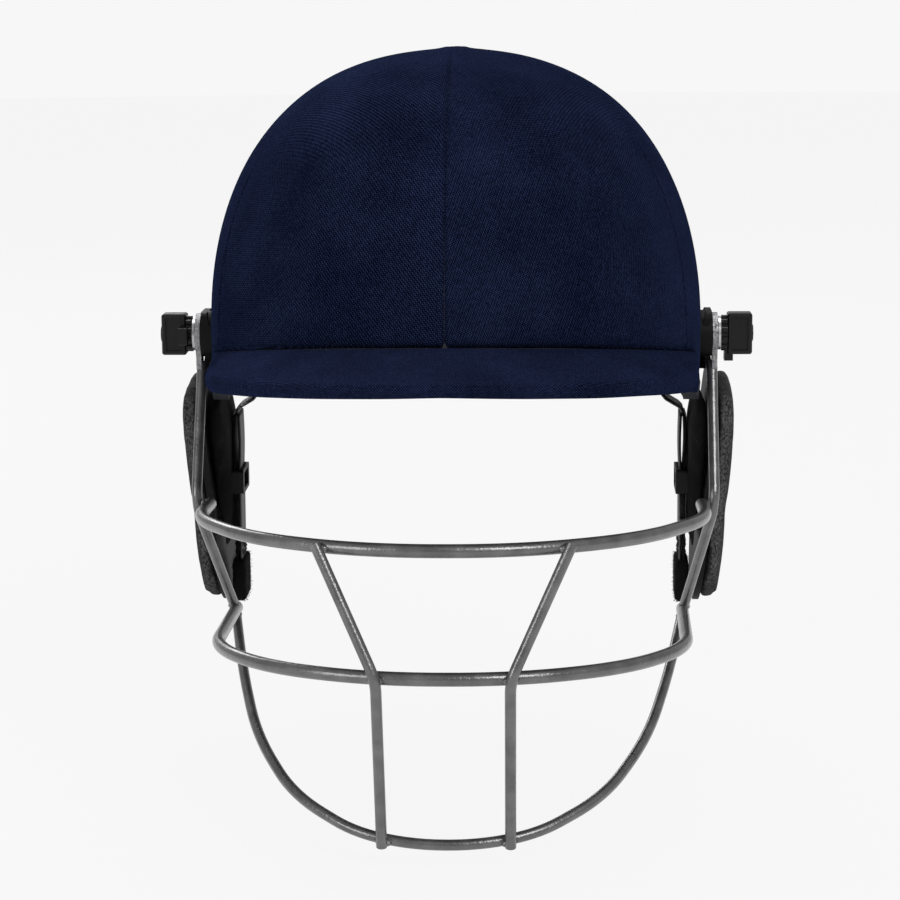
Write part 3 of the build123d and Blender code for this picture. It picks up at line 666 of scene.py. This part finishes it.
# %% Sides that rest on something
def facing_share(amount):
    """0 for a surface that faces less than 0.2 of the way towards something, and 1 from 0.7 on."""
    return clamp(amount * 2 - 0.4)


def rests_outward(place, normal):
    """1 where a pad lies against the foam of the dome, which is on its outer side."""
    away = Vector((place.x, place.y, max(0.0, place.z))).normalized()
    return facing_share(normal.dot(away))


def rests_sideways(way):
    """The same for an ear pad that rests on its inner side, for -1, or on its outer side, for 1."""
    return lambda place, normal: facing_share(normal.x * (way if place.x > 0 else -way))


# %% From a solid to a pad
channel_depth, channel_width = 1.3 * MM, 1.6 * MM
stuffing_pressure, stuffing_frames = 4.0, 16


def press_channels(piece, distance_to_seam, depth, width):
    """Sewn channels: points near a seam are drawn in along their normal."""
    for vertex in piece.data.vertices:
        vertex.co -= vertex.normal * dip(distance_to_seam(vertex.co), depth, width)


def pad_from(node, name, finish, rest, channels=None, cap=2.4 * MM, shrink=1.5 * MM, voxel=4.5 * MM,
             passes=4):
    piece = remeshed_copy(node, name, shrink, voxel, passes)
    start, blown = blow_up(piece, stuffing_pressure, stuffing_frames)
    settle(piece, start, blown, cap, rest)
    if channels:
        press_channels(piece, channels, channel_depth, channel_width)
    piece.data.materials.append(finish)
    return piece


def dress_pad(piece, node):
    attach(piece, "helmet")
    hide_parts(node)
    print(piece.name, "faces", len(piece.data.polygons))


def mirrored_copy(piece, name):
    twin = bpy.data.objects.new(name, piece.data.copy())
    twin.data.transform(Matrix.Scale(-1, 4, Vector((1, 0, 0))))
    twin.data.flip_normals()
    bpy.context.scene.collection.objects.link(twin)
    return twin


# %% [markdown]
# ## The pads inside the dome
# The brow pad has upright channels so that it bends round the forehead. The nape pad has the same, the
# crown pad has channels like slices of a cake, and each side pad has one along its length.

# %% Brow, nape, crown and side pads
def every(value, pitch):
    """Distance to the nearest line of a row of lines."""
    return abs(value - pitch * round(value / pitch))


brow = pad_from("brow_pad", "brow_cushion", black_knit, rests_outward,
                lambda place: every(math.atan2(place.x, -place.y) * 92 * MM, 24 * MM))
dress_pad(brow, "brow_pad")
nape = pad_from("nape_pad", "nape_cushion", black_knit, rests_outward,
                lambda place: every(place.x, 22 * MM))
dress_pad(nape, "nape_pad")
crown = pad_from("crown_pad", "crown_cushion", black_knit, rests_outward,
                 lambda place: every(math.atan2(place.x, place.y), math.pi / 3) * place.xy.length)
dress_pad(crown, "crown_pad")
side_left = pad_from("side_pad_left", "side_cushion_left", black_knit, rests_outward,
                     lambda place: abs(place.z - 17 * MM))
side_right = mirrored_copy(side_left, "side_cushion_right")
dress_pad(side_left, "side_pad_left")
dress_pad(side_right, "side_pad_right")

# %% [markdown]
# ## The ear guards' pads
# Outside the moulded plate lies a padded cover of grey heathered cloth, which is cloth of mixed dark and
# light fibres. Heather isn't a pattern of threads but of single fibres, so two noises of different sizes
# mix the colour: one for blotches and one stretched upwards for fibres. The side walls of the pad are a
# lighter mesh. Inside lies a black foam pad against the cheek.

# %% Grey heathered cloth
fibre_scale = 1300.0
fibre_stretch = 0.6
blotch_size = 4 * MM
dark_face, light_face = (0.008, 0.008, 0.0083), (0.034, 0.034, 0.035)
dark_wall, light_wall = (0.012, 0.012, 0.0125), (0.090, 0.090, 0.092)


def heather_finish():
    finish = new_finish("grey_heather", (0.03, 0.03, 0.031), 0.9, Sheen_Weight=0.05, Sheen_Roughness=0.5,
                        Specular_IOR_Level=0.1)
    coordinates = finish.node_tree.nodes.new("ShaderNodeTexCoord")
    stretch = finish.node_tree.nodes.new("ShaderNodeMapping")
    stretch.inputs["Scale"].default_value = (1.0, 1.0, fibre_stretch)
    feed(finish, stretch.inputs["Vector"], coordinates.outputs["Object"])
    fibres = finish.node_tree.nodes.new("ShaderNodeTexNoise")
    fibres.inputs["Scale"].default_value = fibre_scale
    fibres.inputs["Detail"].default_value = 4.0
    feed(finish, fibres.inputs["Vector"], stretch.outputs["Vector"])
    mixed = calc(finish, "MULTIPLY_ADD", fibres.outputs["Fac"], 3.2, -1.15)
    mixed = calc(finish, "ADD", mixed, calc(finish, "MULTIPLY_ADD", grains(finish, blotch_size), 0.5, -0.25))
    _, facing_y, _ = place_on(finish, "Normal")
    edge_on = calc(finish, "MULTIPLY_ADD", calc(finish, "ABSOLUTE", facing_y), 2.4, -1.2)
    wall = calc(finish, "MAXIMUM", calc(finish, "SMOOTH_MIN", edge_on, 1.0, 0.2), 0.0)
    face_colour = blend_colours(finish, mixed, dark_face, light_face)
    wall_colour = blend_colours(finish, mixed, dark_wall, light_wall)
    colour_by(finish, wall, face_colour, wall_colour)
    relief(finish, fibres.outputs["Fac"], 0.4 * MM)
    return finish


grey_heather = heather_finish()
print("fibres of", grey_heather.name, "are about", round(0.6 / fibre_scale / MM, 2), "mm thick")

# %% Ear cushions
pressed_above, pressed_run = -70 * MM, 40 * MM
pressed_by = 0.7 * MM
ear_left = pad_from("ear_outer_pad_left", "ear_cushion_left", grey_heather, rests_sideways(-1), cap=0.8 * MM,
                    shrink=0.5 * MM, voxel=3.0 * MM, passes=2)
for vertex in ear_left.data.vertices:
    height_share = clamp((vertex.co.z - pressed_above) / pressed_run)
    vertex.co.x -= pressed_by * max(0.0, vertex.normal.x) * height_share
ear_right = mirrored_copy(ear_left, "ear_cushion_right")
dress_pad(ear_left, "ear_outer_pad_left")
dress_pad(ear_right, "ear_outer_pad_right")
cheek_left = pad_from("ear_inner_pad_left", "cheek_cushion_left", black_knit, rests_sideways(1),
                      shrink=1.0 * MM, voxel=4.0 * MM)
cheek_right = mirrored_copy(cheek_left, "cheek_cushion_right")
dress_pad(cheek_left, "ear_inner_pad_left")
dress_pad(cheek_right, "ear_inner_pad_right")

# %% [markdown]
# ## The chin strap
# The strap is polyester webbing: flat, firm, with fine ribs across and a denser selvedge at each rim. Cloth
# simulation would wrinkle it like a rag, so it is swept directly. Each half hangs from its rivet and is
# doubled below the ear guard. The two layers stand a little apart until the sliding loop presses them
# together, and at the end they are sewn.

# %% Finish of the webbing
rib_pitch, cord_pitch = 1.3 * MM, 0.9 * MM


def webbing_finish():
    finish = new_finish("black_webbing", (0.010, 0.010, 0.011), 0.5, Sheen_Weight=0.03,
                        Specular_IOR_Level=0.3)
    _, y, z = place_on(finish)
    ribs = calc(finish, "SINE", calc(finish, "MULTIPLY", z, 2 * math.pi / rib_pitch))
    cords = calc(finish, "SINE", calc(finish, "MULTIPLY", y, 2 * math.pi / cord_pitch))
    height = calc(finish, "MULTIPLY_ADD", cords, 0.35, ribs)
    height = calc(finish, "MULTIPLY_ADD", height, 0.35, 0.5)
    colour_by(finish, height, (0.003, 0.003, 0.0035), (0.016, 0.016, 0.017))
    relief(finish, height, 0.16 * MM)
    return finish


black_webbing = webbing_finish()
print("ribs of the webbing every", rib_pitch, "m")

# %% [markdown]
# A ribbon is a flat tube along a line that lies in an upright plane. The lines below are in millimetres, as
# in the CAD: the strap hangs from the rivet, bends out under the ear guard and then hangs straight down,
# doubled.

# %% A ribbon along a line
strap_middle = 34.0 * MM
strap_half = 8.9 * MM
hang_x = 96.2
strap_line = [(87.24, -6.6), (87.24, -14.0), (87.24, -22.0), (87.24, -28.0), (87.5, -30.4), (89.0, -32.2),
              (94.4, -35.4), (95.9, -36.9), (hang_x, -39.5)]
strap_thickness = 1.45
steps_across = 13
rim_share = 0.07
strap_wave = 0.11


def strap_ribbon(line, thickness, half, slack):
    """A ribbon along a line in the X-Z plane: a closed tube of flat section with rounded rims."""
    sections = []
    for place, (x, z) in enumerate(line):
        before = Vector(line[max(place - 1, 0)])
        after = Vector(line[min(place + 1, len(line) - 1)])
        along = (after - before).normalized()
        normal = Vector((-along.y, along.x))
        ring = []
        for step in range(2 * steps_across):
            face_side = 1 if step < steps_across else -1
            share = ((step % steps_across) / (steps_across - 1) * 2 - 1) * face_side
            past_rim = max(0.0, abs(share) - 1 + rim_share)
            rim = math.sqrt(max(0.0, 1 - past_rim ** 2 / rim_share ** 2))
            out = face_side * thickness / 2 * rim * MM
            wave = slack * math.sin(z * strap_wave + share) * MM
            ring.append(Vector((x * MM + normal.x * (out + wave), strap_middle + share * half,
                                z * MM + normal.y * (out + wave))))
        sections.append(ring)
    count = len(sections[0])
    points = [point for ring in sections for point in ring]
    faces = net(len(sections), count, closed_columns=True)
    faces.append(tuple(range(count)))
    faces.append(tuple(reversed(range(len(points) - count, len(points)))))
    return points, faces


def finer_line(line, parts):
    finer = []
    for (x0, z0), (x1, z1) in zip(line, line[1:]):
        for part in range(parts):
            share = part / parts
            finer.append((x0 + (x1 - x0) * share, z0 + (z1 - z0) * share))
    return finer + [line[-1]]


# %% Both halves of the strap
layer_offset = 0.82
layer_thickness = 1.15
layer_slack = 0.05
bow_top, bow_end = -38.6, -62.6
inner_bow, outer_bow = 0.352, 0.44
strap_end = -103.8


def joined(parts):
    """Points and faces of many parts as one net."""
    points, faces = [], []
    for part_points, part_faces in parts:
        base = len(points)
        points += part_points
        faces += [tuple(base + number for number in face) for face in part_faces]
    return points, faces


def strap_layer(side, bow):
    """One of the two layers below the ear guard, bowed away from the other above the sliding loop."""
    straight = [(hang_x, bow_top - step * 4.0) for step in range(17)] + [(hang_x, strap_end)]
    bowed = []
    for x, z in finer_line(straight, 2):
        share = clamp((z - bow_top) / (bow_end - bow_top))
        bowed.append((x + side * (layer_offset + bow * math.sin(share * math.pi)), z))
    return strap_ribbon(bowed, layer_thickness, strap_half, layer_slack)


def doubled_strap(name):
    single = strap_ribbon(finer_line(strap_line, 3), strap_thickness, strap_half, 0.0)
    points, faces = joined([single, strap_layer(-1, inner_bow), strap_layer(1, outer_bow)])
    strap = make_object(name, points, faces, black_webbing)
    face_outwards(strap)
    return strap


strap_left = doubled_strap("webbing_left")
strap_right = mirrored_copy(strap_left, "webbing_right")
for strap, word in ((strap_left, "left"), (strap_right, "right")):
    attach(strap, "strap_" + word)
    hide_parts("chin_strap_" + word)
    print(strap.name, "faces", len(strap.data.polygons))

# %% [markdown]
# ## Stitches
# Thread is thin, but a row of stitches tells the eye that two layers are sewn. Each stitch is a short
# capsule that dips into the webbing at both ends. A box of stitches with a cross in it holds the doubled
# strap.

# %% A row of stitches
stitch_pitch, stitch_radius = 2.4 * MM, 0.28 * MM
stitch_joints, stitch_corners = 5, 6


def stitch(middle, along, outward):
    """One short thread, thickest at its middle, whose ends dip into the webbing."""
    across = along.cross(outward).normalized()
    points = []
    for step in range(stitch_joints):
        share = step / (stitch_joints - 1) * 2 - 1
        bow = outward * stitch_radius * (0.9 - 1.5 * share ** 2)
        place = middle + along * share * stitch_pitch * 0.38 + bow
        size = stitch_radius * (1.0 - 0.45 * share ** 2)
        for corner in range(stitch_corners):
            angle = corner * 2 * math.pi / stitch_corners
            points.append(place + (across * math.cos(angle) + outward * math.sin(angle)) * size)
    return points, net(stitch_joints, stitch_corners, closed_columns=True)


def stitch_row(start, end, outward):
    run = end - start
    count = max(1, int(run.length / stitch_pitch))
    return [stitch(start + run * ((number + 0.5) / count), run.normalized(), outward)
            for number in range(count)]


def one_piece(name, parts, finish):
    points, faces = joined(parts)
    return make_object(name, points, faces, finish)


# %% The sewn box of each strap
# The thread is painted darker between its fibres as painted shade and lighter on their tops as painted
# highlight.
black_thread = cloth_finish("black_thread", (0.006, 0.006, 0.006), (0.03, 0.03, 0.03), 0.4 * MM, 0.04 * MM,
                            roughness=0.6, Sheen_Weight=0.05)
stitch_lift = 1.45 * MM
box_half = 6.5 * MM
box_top, box_foot = -94.4 * MM, -101 * MM


def strap_stitches(name):
    near, far = strap_middle - box_half, strap_middle + box_half
    box = [(near, box_top), (far, box_top), (far, box_foot), (near, box_foot)]
    corners = box + [(near, box_top), (far, box_foot), (far, box_top), (near, box_foot)]
    threads = []
    for face_side in (-1, 1):
        x = hang_x * MM + face_side * stitch_lift
        for (y0, z0), (y1, z1) in zip(corners, corners[1:]):
            threads += stitch_row(Vector((x, y0, z0)), Vector((x, y1, z1)), Vector((face_side, 0, 0)))
    return one_piece(name, threads, black_thread)


stitches_left = strap_stitches("strap_stitches_left")
stitches_right = mirrored_copy(stitches_left, "strap_stitches_right")
for piece, word in ((stitches_left, "left"), (stitches_right, "right")):
    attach(piece, "strap_" + word)
    print(piece.name, "faces", len(piece.data.polygons))

# %% [markdown]
# ## The fastening tabs
# Each strap ends in a fuzzy tab of hook-and-loop tape. The pile is what the photograph shows: a dark block
# with a ragged outline. A rounded pad carries the colour, and some hundreds of short curved fibres break
# its outline. The fibres start from a seeded random number, so that every run gives the same tab.

# %% The block under the pile
# The pile is painted darker between its loops as painted shade and lighter on their tops as painted
# highlight.
pile = cloth_finish("black_pile", (0.002, 0.002, 0.002), (0.007, 0.0068, 0.0068), 0.9 * MM, 0.5 * MM,
                    Sheen_Weight=0.02)
tab_low = Vector((93.1, 23.2, -121.2)) * MM
tab_high = Vector((99.3, 44.8, -102.2)) * MM
tab_middle = (tab_low + tab_high) / 2
tab_half = (tab_high - tab_low) / 2
tab_rounding = 2.2 * MM
tab_unevenness, uneven_pitch = 0.35 * MM, 420
below_pile = 0.98


def read_out(bm):
    """Points and faces of a mesh that is being edited, which is then let go."""
    bm.verts.index_update()
    points = [vertex.co.copy() for vertex in bm.verts]
    faces = [tuple(vertex.index for vertex in face.verts) for face in bm.faces]
    bm.free()
    return points, faces


def soft_block(cuts=14):
    """A closed block with rounded, slightly uneven sides."""
    bm = bmesh.new()
    bmesh.ops.create_cube(bm, size=2.0)
    bmesh.ops.subdivide_edges(bm, edges=bm.edges[:], cuts=cuts, use_grid_fill=True)
    for vertex in bm.verts:
        inner = Vector([max(-1 + tab_rounding / side, min(1 - tab_rounding / side, part)) * side
                        for part, side in zip(vertex.co, tab_half)])
        off = Vector([part * side for part, side in zip(vertex.co, tab_half)]) - inner
        place = inner + (off.normalized() * tab_rounding if off.length > 1e-9 else off)
        rough = noise.noise(place * uneven_pitch) * tab_unevenness
        vertex.co = tab_middle + place * below_pile + place.normalized() * rough
    return read_out(bm)


print("a tab measures", [round(side * 2 / MM, 1) for side in tab_half], "mm")

# %% Fibres
fibre_count = 900
fibre_width = 0.08 * MM
fibre_joints = 4


def fibre(root, way, length, bend):
    """One thin tapering hair with three sides."""
    side = way.orthogonal().normalized()
    other = way.cross(side)
    points = []
    for step in range(fibre_joints):
        share = step / (fibre_joints - 1)
        middle = root + way * length * share + bend * share ** 2
        size = fibre_width * (1 - share * 0.8)
        for corner in range(3):
            angle = corner * 2 * math.pi / 3
            points.append(middle + (side * math.cos(angle) + other * math.sin(angle)) * size)
    return points, net(fibre_joints, 3, closed_columns=True)


def fuzzy_tab(name):
    parts = [soft_block()]
    chance = random.Random(7)
    for _ in range(fibre_count):
        raw = Vector([chance.uniform(-1, 1) for _ in range(3)])
        largest = max(abs(part) for part in raw)
        root = tab_middle + Vector([part / largest * side * 0.94 for part, side in zip(raw, tab_half)])
        way = (Vector([part / largest / side for part, side in zip(raw, tab_half)]).normalized()
               + Vector([chance.uniform(-0.6, 0.6) for _ in range(3)])).normalized()
        bend = Vector([chance.uniform(-0.5, 0.5), chance.uniform(-0.5, 0.5), chance.uniform(-0.9, 0.1)]) * MM
        parts.append(fibre(root, way, chance.uniform(0.4, 1.1) * MM, bend * 0.6))
    return one_piece(name, parts, pile)


tab_left = fuzzy_tab("fuzzy_tab_left")
tab_right = mirrored_copy(tab_left, "fuzzy_tab_right")
for tab, word in ((tab_left, "left"), (tab_right, "right")):
    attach(tab, "strap_" + word)
    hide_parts("strap_tab_" + word)
    print(tab.name, "faces", len(tab.data.polygons))

# %% [markdown]
# ## Welds
# Where two wires of a grille cross they are resistance-welded, and a small bead squeezes out round the
# contact. Without the beads the grille looks like loose rods. The CAD lets each wire touch the next one
# along a short rim, so the middle of that rim is the place of a weld. Each bead is a lump drawn out along
# the wires, made uneven by noise, and the coat of paint runs over it.

# %% Find the places of the welds
contact_reach = 0.12 * MM
look_around = 6 * MM
weld_pairs = [("top_bar", "side_wire_left"), ("side_wire_left", "middle_bar"), ("chin_bar", "middle_bar"),
              ("grille_strut_left", "top_bar"), ("grille_strut_left", "middle_bar"),
              ("grille_strut_left", "chin_bar"), ("side_wire_left", "pivot_plate_left")]


def contact_place(cut_wire, other_wire):
    """The middle of the left-hand contact of two pieces, where the points of one lie on the other."""
    near = []
    for vertex in cut_wire.data.vertices:
        found, place, _, _ = other_wire.closest_point_on_mesh(vertex.co)
        if found and (place - vertex.co).length < contact_reach and place.x > 0:
            near.append(place)
    return sum(near, Vector()) / len(near) if near else None


def wire_way(wire, place):
    """The way a wire runs at a place. Its long edges there lie along it and outvote the short ones."""
    points = wire.data.vertices
    edges = []
    for edge in wire.data.edges:
        start, end = points[edge.vertices[0]].co, points[edge.vertices[1]].co
        run = end - start
        share = clamp((place - start).dot(run) / max(run.length_squared, 1e-12))
        if (start + run * share - place).length < look_around:
            edges.append(run)
    way = Vector((0.3, 1.0, 0.4))
    for _ in range(12):
        way = sum((run * run.dot(way) for run in edges), Vector()).normalized()
    return way


def find_welds():
    """For each weld its place, the ways of both wires, and whether it lies on a wire or on a flat plate."""
    welds = []
    for cut_name, other_name in weld_pairs:
        cut_wire, other_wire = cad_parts[cut_name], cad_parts[other_name]
        place = contact_place(cut_wire, other_wire)
        if place is None:
            print("no contact between", cut_name, "and", other_name)
            continue
        on_wire = "plate" not in other_name
        welds.append((place, wire_way(other_wire, place), wire_way(cut_wire, place), on_wire))
        print("weld of", cut_name, "to", other_name, [round(part / MM, 1) for part in place])
    return welds


found_welds = find_welds()

# %% The shape of a bead
wire_bead = Vector((3.4, 1.9, 2.5)) * MM
plate_bead = Vector((2.6, 1.4, 1.2)) * MM
bead_unevenness = 0.16
bead_waist = 0.25


def bead(middle, long_way, cross_way, sizes, seed):
    """A lump drawn out along one wire, a little thinner at its ends and never quite even."""
    long_way = long_way.normalized()
    up_way = long_way.cross(cross_way).normalized()
    cross_way = up_way.cross(long_way)
    bm = bmesh.new()
    bmesh.ops.create_icosphere(bm, subdivisions=3, radius=1.0)
    for vertex in bm.verts:
        place = vertex.co.copy()
        uneven = 1 + bead_unevenness * noise.noise(place * 1.7 + Vector((seed, 0, 0)))
        saddle = 1 - bead_waist * place.x ** 2
        round_part = cross_way * place.y * sizes.y + up_way * place.z * sizes.z
        vertex.co = middle + (long_way * place.x * sizes.x + round_part * saddle) * uneven
    return read_out(bm)


print("a bead between wires measures", [round(side * 2 / MM, 1) for side in wire_bead], "mm")

# %% [markdown]
# ## Finishes of metal, rubber and plastic
# The grille is steel wire with a baked grey coat. Such a coat isn't smooth: it has a faint orange-peel
# relief, and its gloss changes from place to place.

# %% The coat of the grille
def coat_finish():
    finish = new_finish("grey_coat", (0.13, 0.13, 0.133), 0.3, 0.68, Coat_Weight=0.35, Coat_Roughness=0.12)
    peel = grains(finish, 0.9 * MM, 3.0)
    patches = grains(finish, 5 * MM, 4.0)
    colour_by(finish, patches, (0.055, 0.055, 0.057), (0.205, 0.205, 0.208))
    vary_roughness(finish, patches, 0.2, 0.42)
    relief(finish, peel, 0.18 * MM)
    return finish


grey_coat = coat_finish()
beads = []
for number, (place, long_way, cross_way, on_wire) in enumerate(found_welds):
    for side in (1, -1):
        mirror = Vector((side, 1, 1))
        beads.append(bead(place * mirror, long_way * mirror, cross_way * mirror,
                          wire_bead if on_wire else plate_bead, number + side))
welds = one_piece("weld_beads", beads, grey_coat)
face_outwards(welds)
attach(welds, "grille")
print(welds.name, "beads", len(beads))

# %% [markdown]
# The pivot plates are stamped steel that has been galvanised: bright, but rough and mottled. The screws,
# washers and rivets are smoother. Noise drives the roughness more than the colour, because mottled zinc
# mostly changes how it shines.

# %% Bare metals
def metal_finish(name, low, high, rough_low, rough_high, grain, depth):
    finish = new_finish(name, high, rough_high, 0.9)
    mottle = grains(finish, grain, 4.0)
    spread = calc(finish, "MULTIPLY_ADD", mottle, 2.2, -0.6)
    colour_by(finish, spread, low, high)
    vary_roughness(finish, spread, rough_low, rough_high)
    relief(finish, mottle, depth)
    return finish


plate_zinc = metal_finish("mottled_plate", (0.15, 0.15, 0.155), (0.42, 0.42, 0.43), 0.34, 0.6,
                          1.0 * MM, 0.5 * MM)
bright_zinc = metal_finish("bright_zinc", (0.36, 0.36, 0.37), (0.62, 0.62, 0.63), 0.22, 0.4,
                           2.5 * MM, 0.05 * MM)
dark_screw = metal_finish("blackened_steel", (0.012, 0.012, 0.013), (0.04, 0.04, 0.042), 0.25, 0.4,
                          2 * MM, 0.05 * MM)
turned_brass = metal_finish("turned_brass", (0.45, 0.31, 0.11), (0.65, 0.48, 0.2), 0.25, 0.4,
                            1.5 * MM, 0.04 * MM)
print("bare metals", [finish.name for finish in (plate_zinc, bright_zinc, dark_screw, turned_brass)])

# %% [markdown]
# Moulded plastic takes the surface of its mould. The knobs come from a polished mould, so they shine and
# show only a faint waviness. The ear plates and the wall come from an etched one, with a fine grain.

# %% Plastics, foam and rubber
def moulded_finish(name, low, high, roughness, grain, depth, coat=0.0):
    finish = new_finish(name, high, roughness, 0.0, Coat_Weight=coat, Coat_Roughness=0.08,
                        Specular_IOR_Level=0.14)
    texture = grains(finish, grain, 3.0)
    rubbed = grains(finish, 14 * MM, 2.0)
    colour_by(finish, rubbed, low, high)
    vary_roughness(finish, rubbed, roughness - 0.06, roughness + 0.08)
    relief(finish, texture, depth)
    return finish


foam_bead_scale = 330.0


def foam_finish():
    finish = new_finish("liner_foam", (0.03, 0.03, 0.032), 0.92)
    coordinates = finish.node_tree.nodes.new("ShaderNodeTexCoord")
    beads = finish.node_tree.nodes.new("ShaderNodeTexVoronoi")
    beads.inputs["Scale"].default_value = foam_bead_scale
    feed(finish, beads.inputs["Vector"], coordinates.outputs["Object"])
    share = calc(finish, "MULTIPLY", beads.outputs["Distance"], 1.3)
    colour_by(finish, share, (0.045, 0.045, 0.047), (0.012, 0.012, 0.013))
    relief(finish, calc(finish, "SUBTRACT", 1.0, share), 0.35 * MM)
    return finish


knob_gloss = moulded_finish("knob_gloss", (0.004, 0.004, 0.0045), (0.009, 0.009, 0.0095), 0.3, 1.2 * MM,
                            0.10 * MM, 0.12)
slider_satin = moulded_finish("slider_satin", (0.004, 0.004, 0.004), (0.009, 0.009, 0.009), 0.5, 0.8 * MM,
                              0.10 * MM)
guard_satin = moulded_finish("guard_satin", (0.002, 0.002, 0.002), (0.005, 0.005, 0.0052), 0.55, 0.5 * MM,
                             0.08 * MM)
wall_satin = moulded_finish("wall_satin", (0.018, 0.018, 0.020), (0.034, 0.034, 0.037), 0.5, 0.6 * MM,
                            0.06 * MM)
edge_rubber = moulded_finish("edge_rubber", (0.004, 0.005, 0.009), (0.009, 0.010, 0.016), 0.6, 0.5 * MM,
                             0.08 * MM)
liner_foam = foam_finish()
print("foam beads are about", round(1 / foam_bead_scale / MM, 1), "mm wide")

# %% Give each solid its finish
finish_of = {
    "outer_wall": wall_satin, "peak_core": wall_satin, "peak_screws": bright_zinc, "edge_trim": edge_rubber,
    "foam_liner": liner_foam, "threaded_insert": turned_brass, "ear_guard_plate": guard_satin,
    "strap_rivet": bright_zinc, "strap_collar": guard_satin, "strap_eyelet": bright_zinc,
    "strap_slider": slider_satin, "top_bar": grey_coat, "middle_bar": grey_coat, "chin_bar": grey_coat,
    "side_wire": grey_coat, "grille_strut": grey_coat, "pivot_plate": plate_zinc, "clamp_washer": bright_zinc,
    "thumb_knob": knob_gloss, "thumb_screw": dark_screw,
}
dressed = 0
for name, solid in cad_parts.items():
    kind = name.removesuffix("_left").removesuffix("_right")
    if kind in finish_of:
        solid.data.materials.clear()
        solid.data.materials.append(finish_of[kind])
        dressed += 1
print("solids with a finish", dressed)

# %% [markdown]
# ## Light and stage
# The photograph is a catalogue picture: soft light from all around, a little stronger from the upper right,
# and a nearly white background. Large lamps give soft edges to the shadows. The floor lies a little below
# the lowest wire, because the grille tilts down that far. The floor and the world show their pale colour to
# the camera and to reflections only, so that they don't flood the dark helmet with light.

# %% Floor, world and lamps
def pale_stage(colour, own_light):
    finish = bpy.data.materials.new("pale_floor")
    finish.use_nodes = True
    nodes, links = finish.node_tree.nodes, finish.node_tree.links
    shader = nodes["Principled BSDF"]
    shader.inputs["Base Color"].default_value = (*colour, 1.0)
    shader.inputs["Roughness"].default_value = 0.9
    glow = nodes.new("ShaderNodeEmission")
    glow.inputs["Color"].default_value = (*colour, 1.0)
    rays = nodes.new("ShaderNodeLightPath")
    seen = calc(finish, "MAXIMUM", rays.outputs["Is Camera Ray"], rays.outputs["Is Glossy Ray"])
    seen = calc(finish, "MAXIMUM", seen, rays.outputs["Is Transmission Ray"])
    share = calc(finish, "MULTIPLY", seen, own_light)
    mixer = nodes.new("ShaderNodeMixShader")
    links.new(share, mixer.inputs[0])
    links.new(shader.outputs[0], mixer.inputs[1])
    links.new(glow.outputs[0], mixer.inputs[2])
    links.new(mixer.outputs[0], nodes["Material Output"].inputs["Surface"])
    return finish


low_corner = cad_box[0]
tilt_room = 7.5 * MM
floor_level = low_corner[2] - tilt_room
ring = [(math.cos(math.radians(angle)) * 6.0, math.sin(math.radians(angle)) * 6.0, floor_level)
        for angle in range(0, 360, 6)]
floor_finish = pale_stage((0.93, 0.93, 0.93), 0.96)
floor = make_object("studio_floor", ring, [tuple(range(len(ring)))], floor_finish, smooth=False)

world = bpy.data.worlds.new("studio_air")
bpy.context.scene.world = world
world.use_nodes = True
air = world.node_tree.nodes
air_links = world.node_tree.links
soft = air["Background"]
soft.inputs["Color"].default_value = (1.0, 1.0, 1.0, 1.0)
soft.inputs["Strength"].default_value = 0.42
plain = air.new("ShaderNodeBackground")
plain.inputs["Color"].default_value = (0.93, 0.93, 0.93, 1.0)
plain.inputs["Strength"].default_value = 1.0
rays = air.new("ShaderNodeLightPath")
picker = air.new("ShaderNodeMixShader")
air_links.new(rays.outputs["Is Camera Ray"], picker.inputs[0])
air_links.new(soft.outputs[0], picker.inputs[1])
air_links.new(plain.outputs[0], picker.inputs[2])
air_links.new(picker.outputs[0], air["World Output"].inputs["Surface"])


def softbox(name, place, aim, size, power):
    data = bpy.data.lights.new(name, "AREA")
    data.shape = "SQUARE"
    data.size = size
    data.energy = power
    lamp = bpy.data.objects.new(name, data)
    way = Vector(aim) - Vector(place)
    lamp.matrix_world = Matrix.Translation(place) @ way.to_track_quat("-Z", "Y").to_matrix().to_4x4()
    bpy.context.scene.collection.objects.link(lamp)


softbox("key_softbox", (0.95, -1.5, 1.25), (0, 0, 0), 0.9, 26.0)
softbox("fill_softbox", (-1.35, -1.2, 0.5), (0, 0, -0.03), 0.8, 11.0)
softbox("top_softbox", (0.0, 0.5, 1.8), (0, 0, 0.05), 1.0, 16.0)
softbox("back_softbox", (-0.7, 1.6, 0.9), (0, 0, 0), 0.8, 10.0)
print("floor at", round(floor_level, 4))

# %% [markdown]
# ## Sizes
# The box of the CAD solids is printed.

# %% Print the CAD box
print("CAD box", [[round(part, 4) for part in corner] for corner in cad_box])
